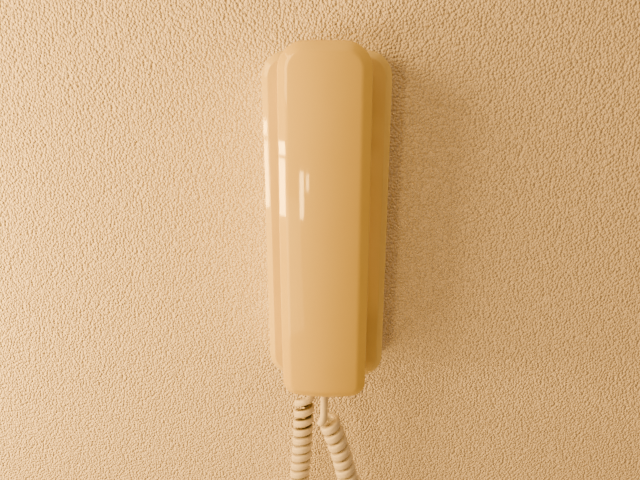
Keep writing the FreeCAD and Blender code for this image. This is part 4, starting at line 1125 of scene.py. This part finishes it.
@dataclass
class Cabinet:
    """The base, the handset's inner half and the small pieces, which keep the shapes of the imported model."""

    edge: float = 0.45 * MM
    base_front: float = 24 * MM
    base_bevel: float = 2.2 * MM
    cup_tip: float = 17 * MM
    handset_back: float = 32 * MM
    near: float = 0.02 * MM

    def build(self, shop: Workshop, record: dict) -> None:
        """Dress every node, and soften the edges of those that show.

        Args:
            shop: the workshop.
            record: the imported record.
        """
        slots = {row["node"]: Slot(row["material_slot"]) for row in record["subparts"]}
        for node, slot in slots.items():
            shop.dress(node, slot)
        # The base's pieces take the cream with painted fill light.
        for made in (
            shop.refined("base_front_case", Slot.CREAM, Body.BASE, self.edge, self._on_base_front),
            shop.refined("base_rear_cover", Slot.CREAM, Body.BASE, 0.0, self._nowhere),
        ):
            made.data.materials[0] = shop.cream_with_painted_fill
        shop.refined("handset_inner_cover", Slot.CREAM, Body.HANDSET, self.edge, self._on_cups)
        shop.refined("hook_plunger", Slot.CREAM, Body.PLUNGER, 0.0, self._nowhere)
        shop.refined("volume_slider", Slot.CREAM, Body.SLIDER, 0.0, self._nowhere)
        screws = ScrewSet()
        for node, body in (
            ("rear_cover_screws", Body.BASE),
            ("circuit_board_screws", Body.BASE),
            ("handset_screws", Body.HANDSET),
        ):
            screws.build(shop, node, slots[node], body)

    def _on_base_front(self, point: Vector) -> bool:
        """Tell whether a point lies on the rim of the base's front or on its bevel's lower edge."""
        return self._on_rim(point, self.base_front, self.base_front - self.base_bevel)

    def _on_cups(self, point: Vector) -> bool:
        """Tell whether a point lies on the rim of an ear or mouth cup, or on the grip's back."""
        return self._on_rim(point, self.cup_tip, self.handset_back)

    def _on_rim(self, point: Vector, *rims: float) -> bool:
        """Tell whether a point stands as far from the wall as one of some rims."""
        return any(abs(-point.y - rim) < self.near for rim in rims)

    @staticmethod
    def _nowhere(_: Vector) -> bool:
        """Soften nothing."""
        return False


@dataclass(frozen=True)
class Panel:
    """A soft light panel: its size in metres, its power in watts and the point that it faces."""

    name: str
    place: Point
    size: tuple[float, float]
    power: float
    aim: Point = (0.0, -0.02, 0.0)
    colour: Colour = (1.0, 0.55, 0.13)

    def hang(self) -> None:
        """Put the panel into the scene."""
        light = bpy.data.lights.new(self.name, "AREA")
        light.shape = "RECTANGLE"
        light.size, light.size_y = self.size
        light.energy = self.power
        light.color = self.colour
        made = bpy.data.objects.new(self.name, light)
        made.location = self.place
        made.rotation_euler = (Vector(self.aim) - Vector(self.place)).to_track_quat("-Z", "Y").to_euler()
        bpy.context.scene.collection.objects.link(made)


GLOSS_SPOT = (-0.011, -0.055, 0.04)
PANELS = (
    Panel("window", (-0.55, -0.105, -0.075), (0.14, 0.1), 4.4),
    Panel("window_top", (-0.55, -0.105, -0.006), (0.14, 0.022), 1.2),
    Panel("lamp", (-0.47, -0.295, 0.225), (0.3, 0.3), 4.9),
    Panel("low_left", (-0.786, -0.491, -0.375), (0.43, 0.43), 4.6),
    Panel("low_front", (-0.532, -0.76, -0.375), (0.43, 0.43), 2.2),
    Panel("ceiling", (0.1, -0.7, 1.1), (1.2, 0.9), 5.7),
    Panel("far_pane", (-0.75, -1.9, -0.37), (0.13, 0.28), 8.0, GLOSS_SPOT),
    Panel("side_pane", (-0.58, -1.96, -0.29), (0.09, 0.10), 1.5, GLOSS_SPOT),
)


@dataclass
class Room:
    """The wall, the floor, the light and the camera."""

    wall_y: float = 0.6 * MM
    floor_z: float = -1.2
    reach: float = 3.0
    wall_colour: Colour = (0.97, 0.88, 0.745)
    floor_colour: Colour = (0.80, 0.70, 0.55)
    paint_roughness: float = 0.9
    paint_gloss: float = 0.2
    grain_scale: float = 640.0
    grain_depth: float = 1.8 * MM
    air_colour: Colour = (1.0, 0.61, 0.33)
    air_strength: float = 0.32
    sensor: float = 36.0
    nearest_seen: float = 0.01
    lens: float = 31.5
    eye: Point = (0.0128, -0.3328, 0.0949)
    yaw: float = 3.0
    pitch: float = 18.23

    def build(self) -> None:
        """Set the stage."""
        reach, back, low = self.reach, self.wall_y, self.floor_z
        upright = ((-reach, low), (reach, low), (reach, reach), (-reach, reach))
        wall = self._sheet("wall", [(x, back, z) for x, z in upright])
        wall.data.materials.append(self._paint("wall_paint", self.wall_colour, True))
        spread = ((-reach, -reach), (reach, -reach), (reach, reach), (-reach, reach))
        floor = self._sheet("floor", [(*spot, low) for spot in spread])
        floor.data.materials.append(self._paint("floor_paint", self.floor_colour, False))
        self._lights()
        self._camera()

    @staticmethod
    def _sheet(name: str, corners: list[Point]) -> bpy.types.Object:
        """Make a flat sheet from its corners.

        Args:
            name: the sheet's name.
            corners: its four corners in order.

        Returns:
            The sheet.
        """
        mesh = bpy.data.meshes.new(name)
        mesh.from_pydata(corners, [], [(0, 1, 2, 3)])
        made = bpy.data.objects.new(name, mesh)
        bpy.context.scene.collection.objects.link(made)
        return made

    def _paint(self, name: str, colour: Colour, one_sided: bool) -> bpy.types.Material:
        """Make a matt, grainy paint.

        Args:
            name: the material's name.
            colour: its colour.
            one_sided: whether it is clear from behind.

        Returns:
            The material.
        """
        made = bpy.data.materials.new(name)
        made.use_nodes = True
        bench = NodeBench(made.node_tree)
        shader = made.node_tree.nodes["Principled BSDF"]
        spot = bench.add("ShaderNodeTexCoord").outputs["Object"]
        knots = bench.add("ShaderNodeTexVoronoi", {"Vector": spot, "Scale": self.grain_scale})
        grain = bench.math("SUBTRACT", 1.0, knots.outputs["Distance"])
        bump = bench.add("ShaderNodeBump", {"Strength": 1.0, "Distance": self.grain_depth, "Height": grain})
        feeds = {
            "Base Color": (*colour, 1.0),
            "Roughness": self.paint_roughness,
            "Specular IOR Level": self.paint_gloss,
            "Normal": bump.outputs[0],
        }
        bench.fill(shader, feeds)
        if one_sided:
            behind = bench.add("ShaderNodeNewGeometry").outputs["Backfacing"]
            clear = bench.add("ShaderNodeBsdfTransparent").outputs[0]
            mix = bench.add("ShaderNodeMixShader", {0: behind, 1: shader.outputs[0], 2: clear})
            bench.feed(made.node_tree.nodes["Material Output"].inputs[0], mix.outputs[0])
        return made

    def _lights(self) -> None:
        """Light the wall from the left and the ceiling, with two far panes that show in the gloss."""
        for panel in PANELS:
            panel.hang()
        world = bpy.data.worlds.new("room_light")
        world.use_nodes = True
        air = world.node_tree.nodes["Background"]
        air.inputs[0].default_value = (*self.air_colour, 1.0)
        air.inputs[1].default_value = self.air_strength
        bpy.context.scene.world = world

    def _camera(self) -> None:
        """Stand the camera where the photographer stood."""
        yaw, pitch = math.radians(self.yaw), math.radians(self.pitch)
        ahead = Vector((-math.sin(yaw) * math.cos(pitch), math.cos(yaw) * math.cos(pitch), -math.sin(pitch)))
        lens = bpy.data.cameras.new("camera")
        lens.lens = self.lens
        lens.sensor_width = self.sensor
        lens.clip_start = self.nearest_seen
        made = bpy.data.objects.new("camera", lens)
        made.location = self.eye
        made.rotation_euler = ahead.to_track_quat("-Z", "Y").to_euler()
        bpy.context.scene.collection.objects.link(made)
        bpy.context.scene.camera = made


def corners(box: tuple[Vector, Vector]) -> list[list[float]]:
    """Turn a box's two corners into plain lists."""
    return [list(map(float, corner)) for corner in box]


def main() -> None:
    """Build the telephone and its stage."""
    logging.basicConfig(level=logging.INFO, format="%(message)s")
    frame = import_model()
    Room().build()
    shop = Workshop(frame["nodes"])
    Cabinet().build(shop, frame["record"])
    CurlyCord().build(shop)
    HandsetShell().build(shop)


if __name__ == "__main__":
    main()
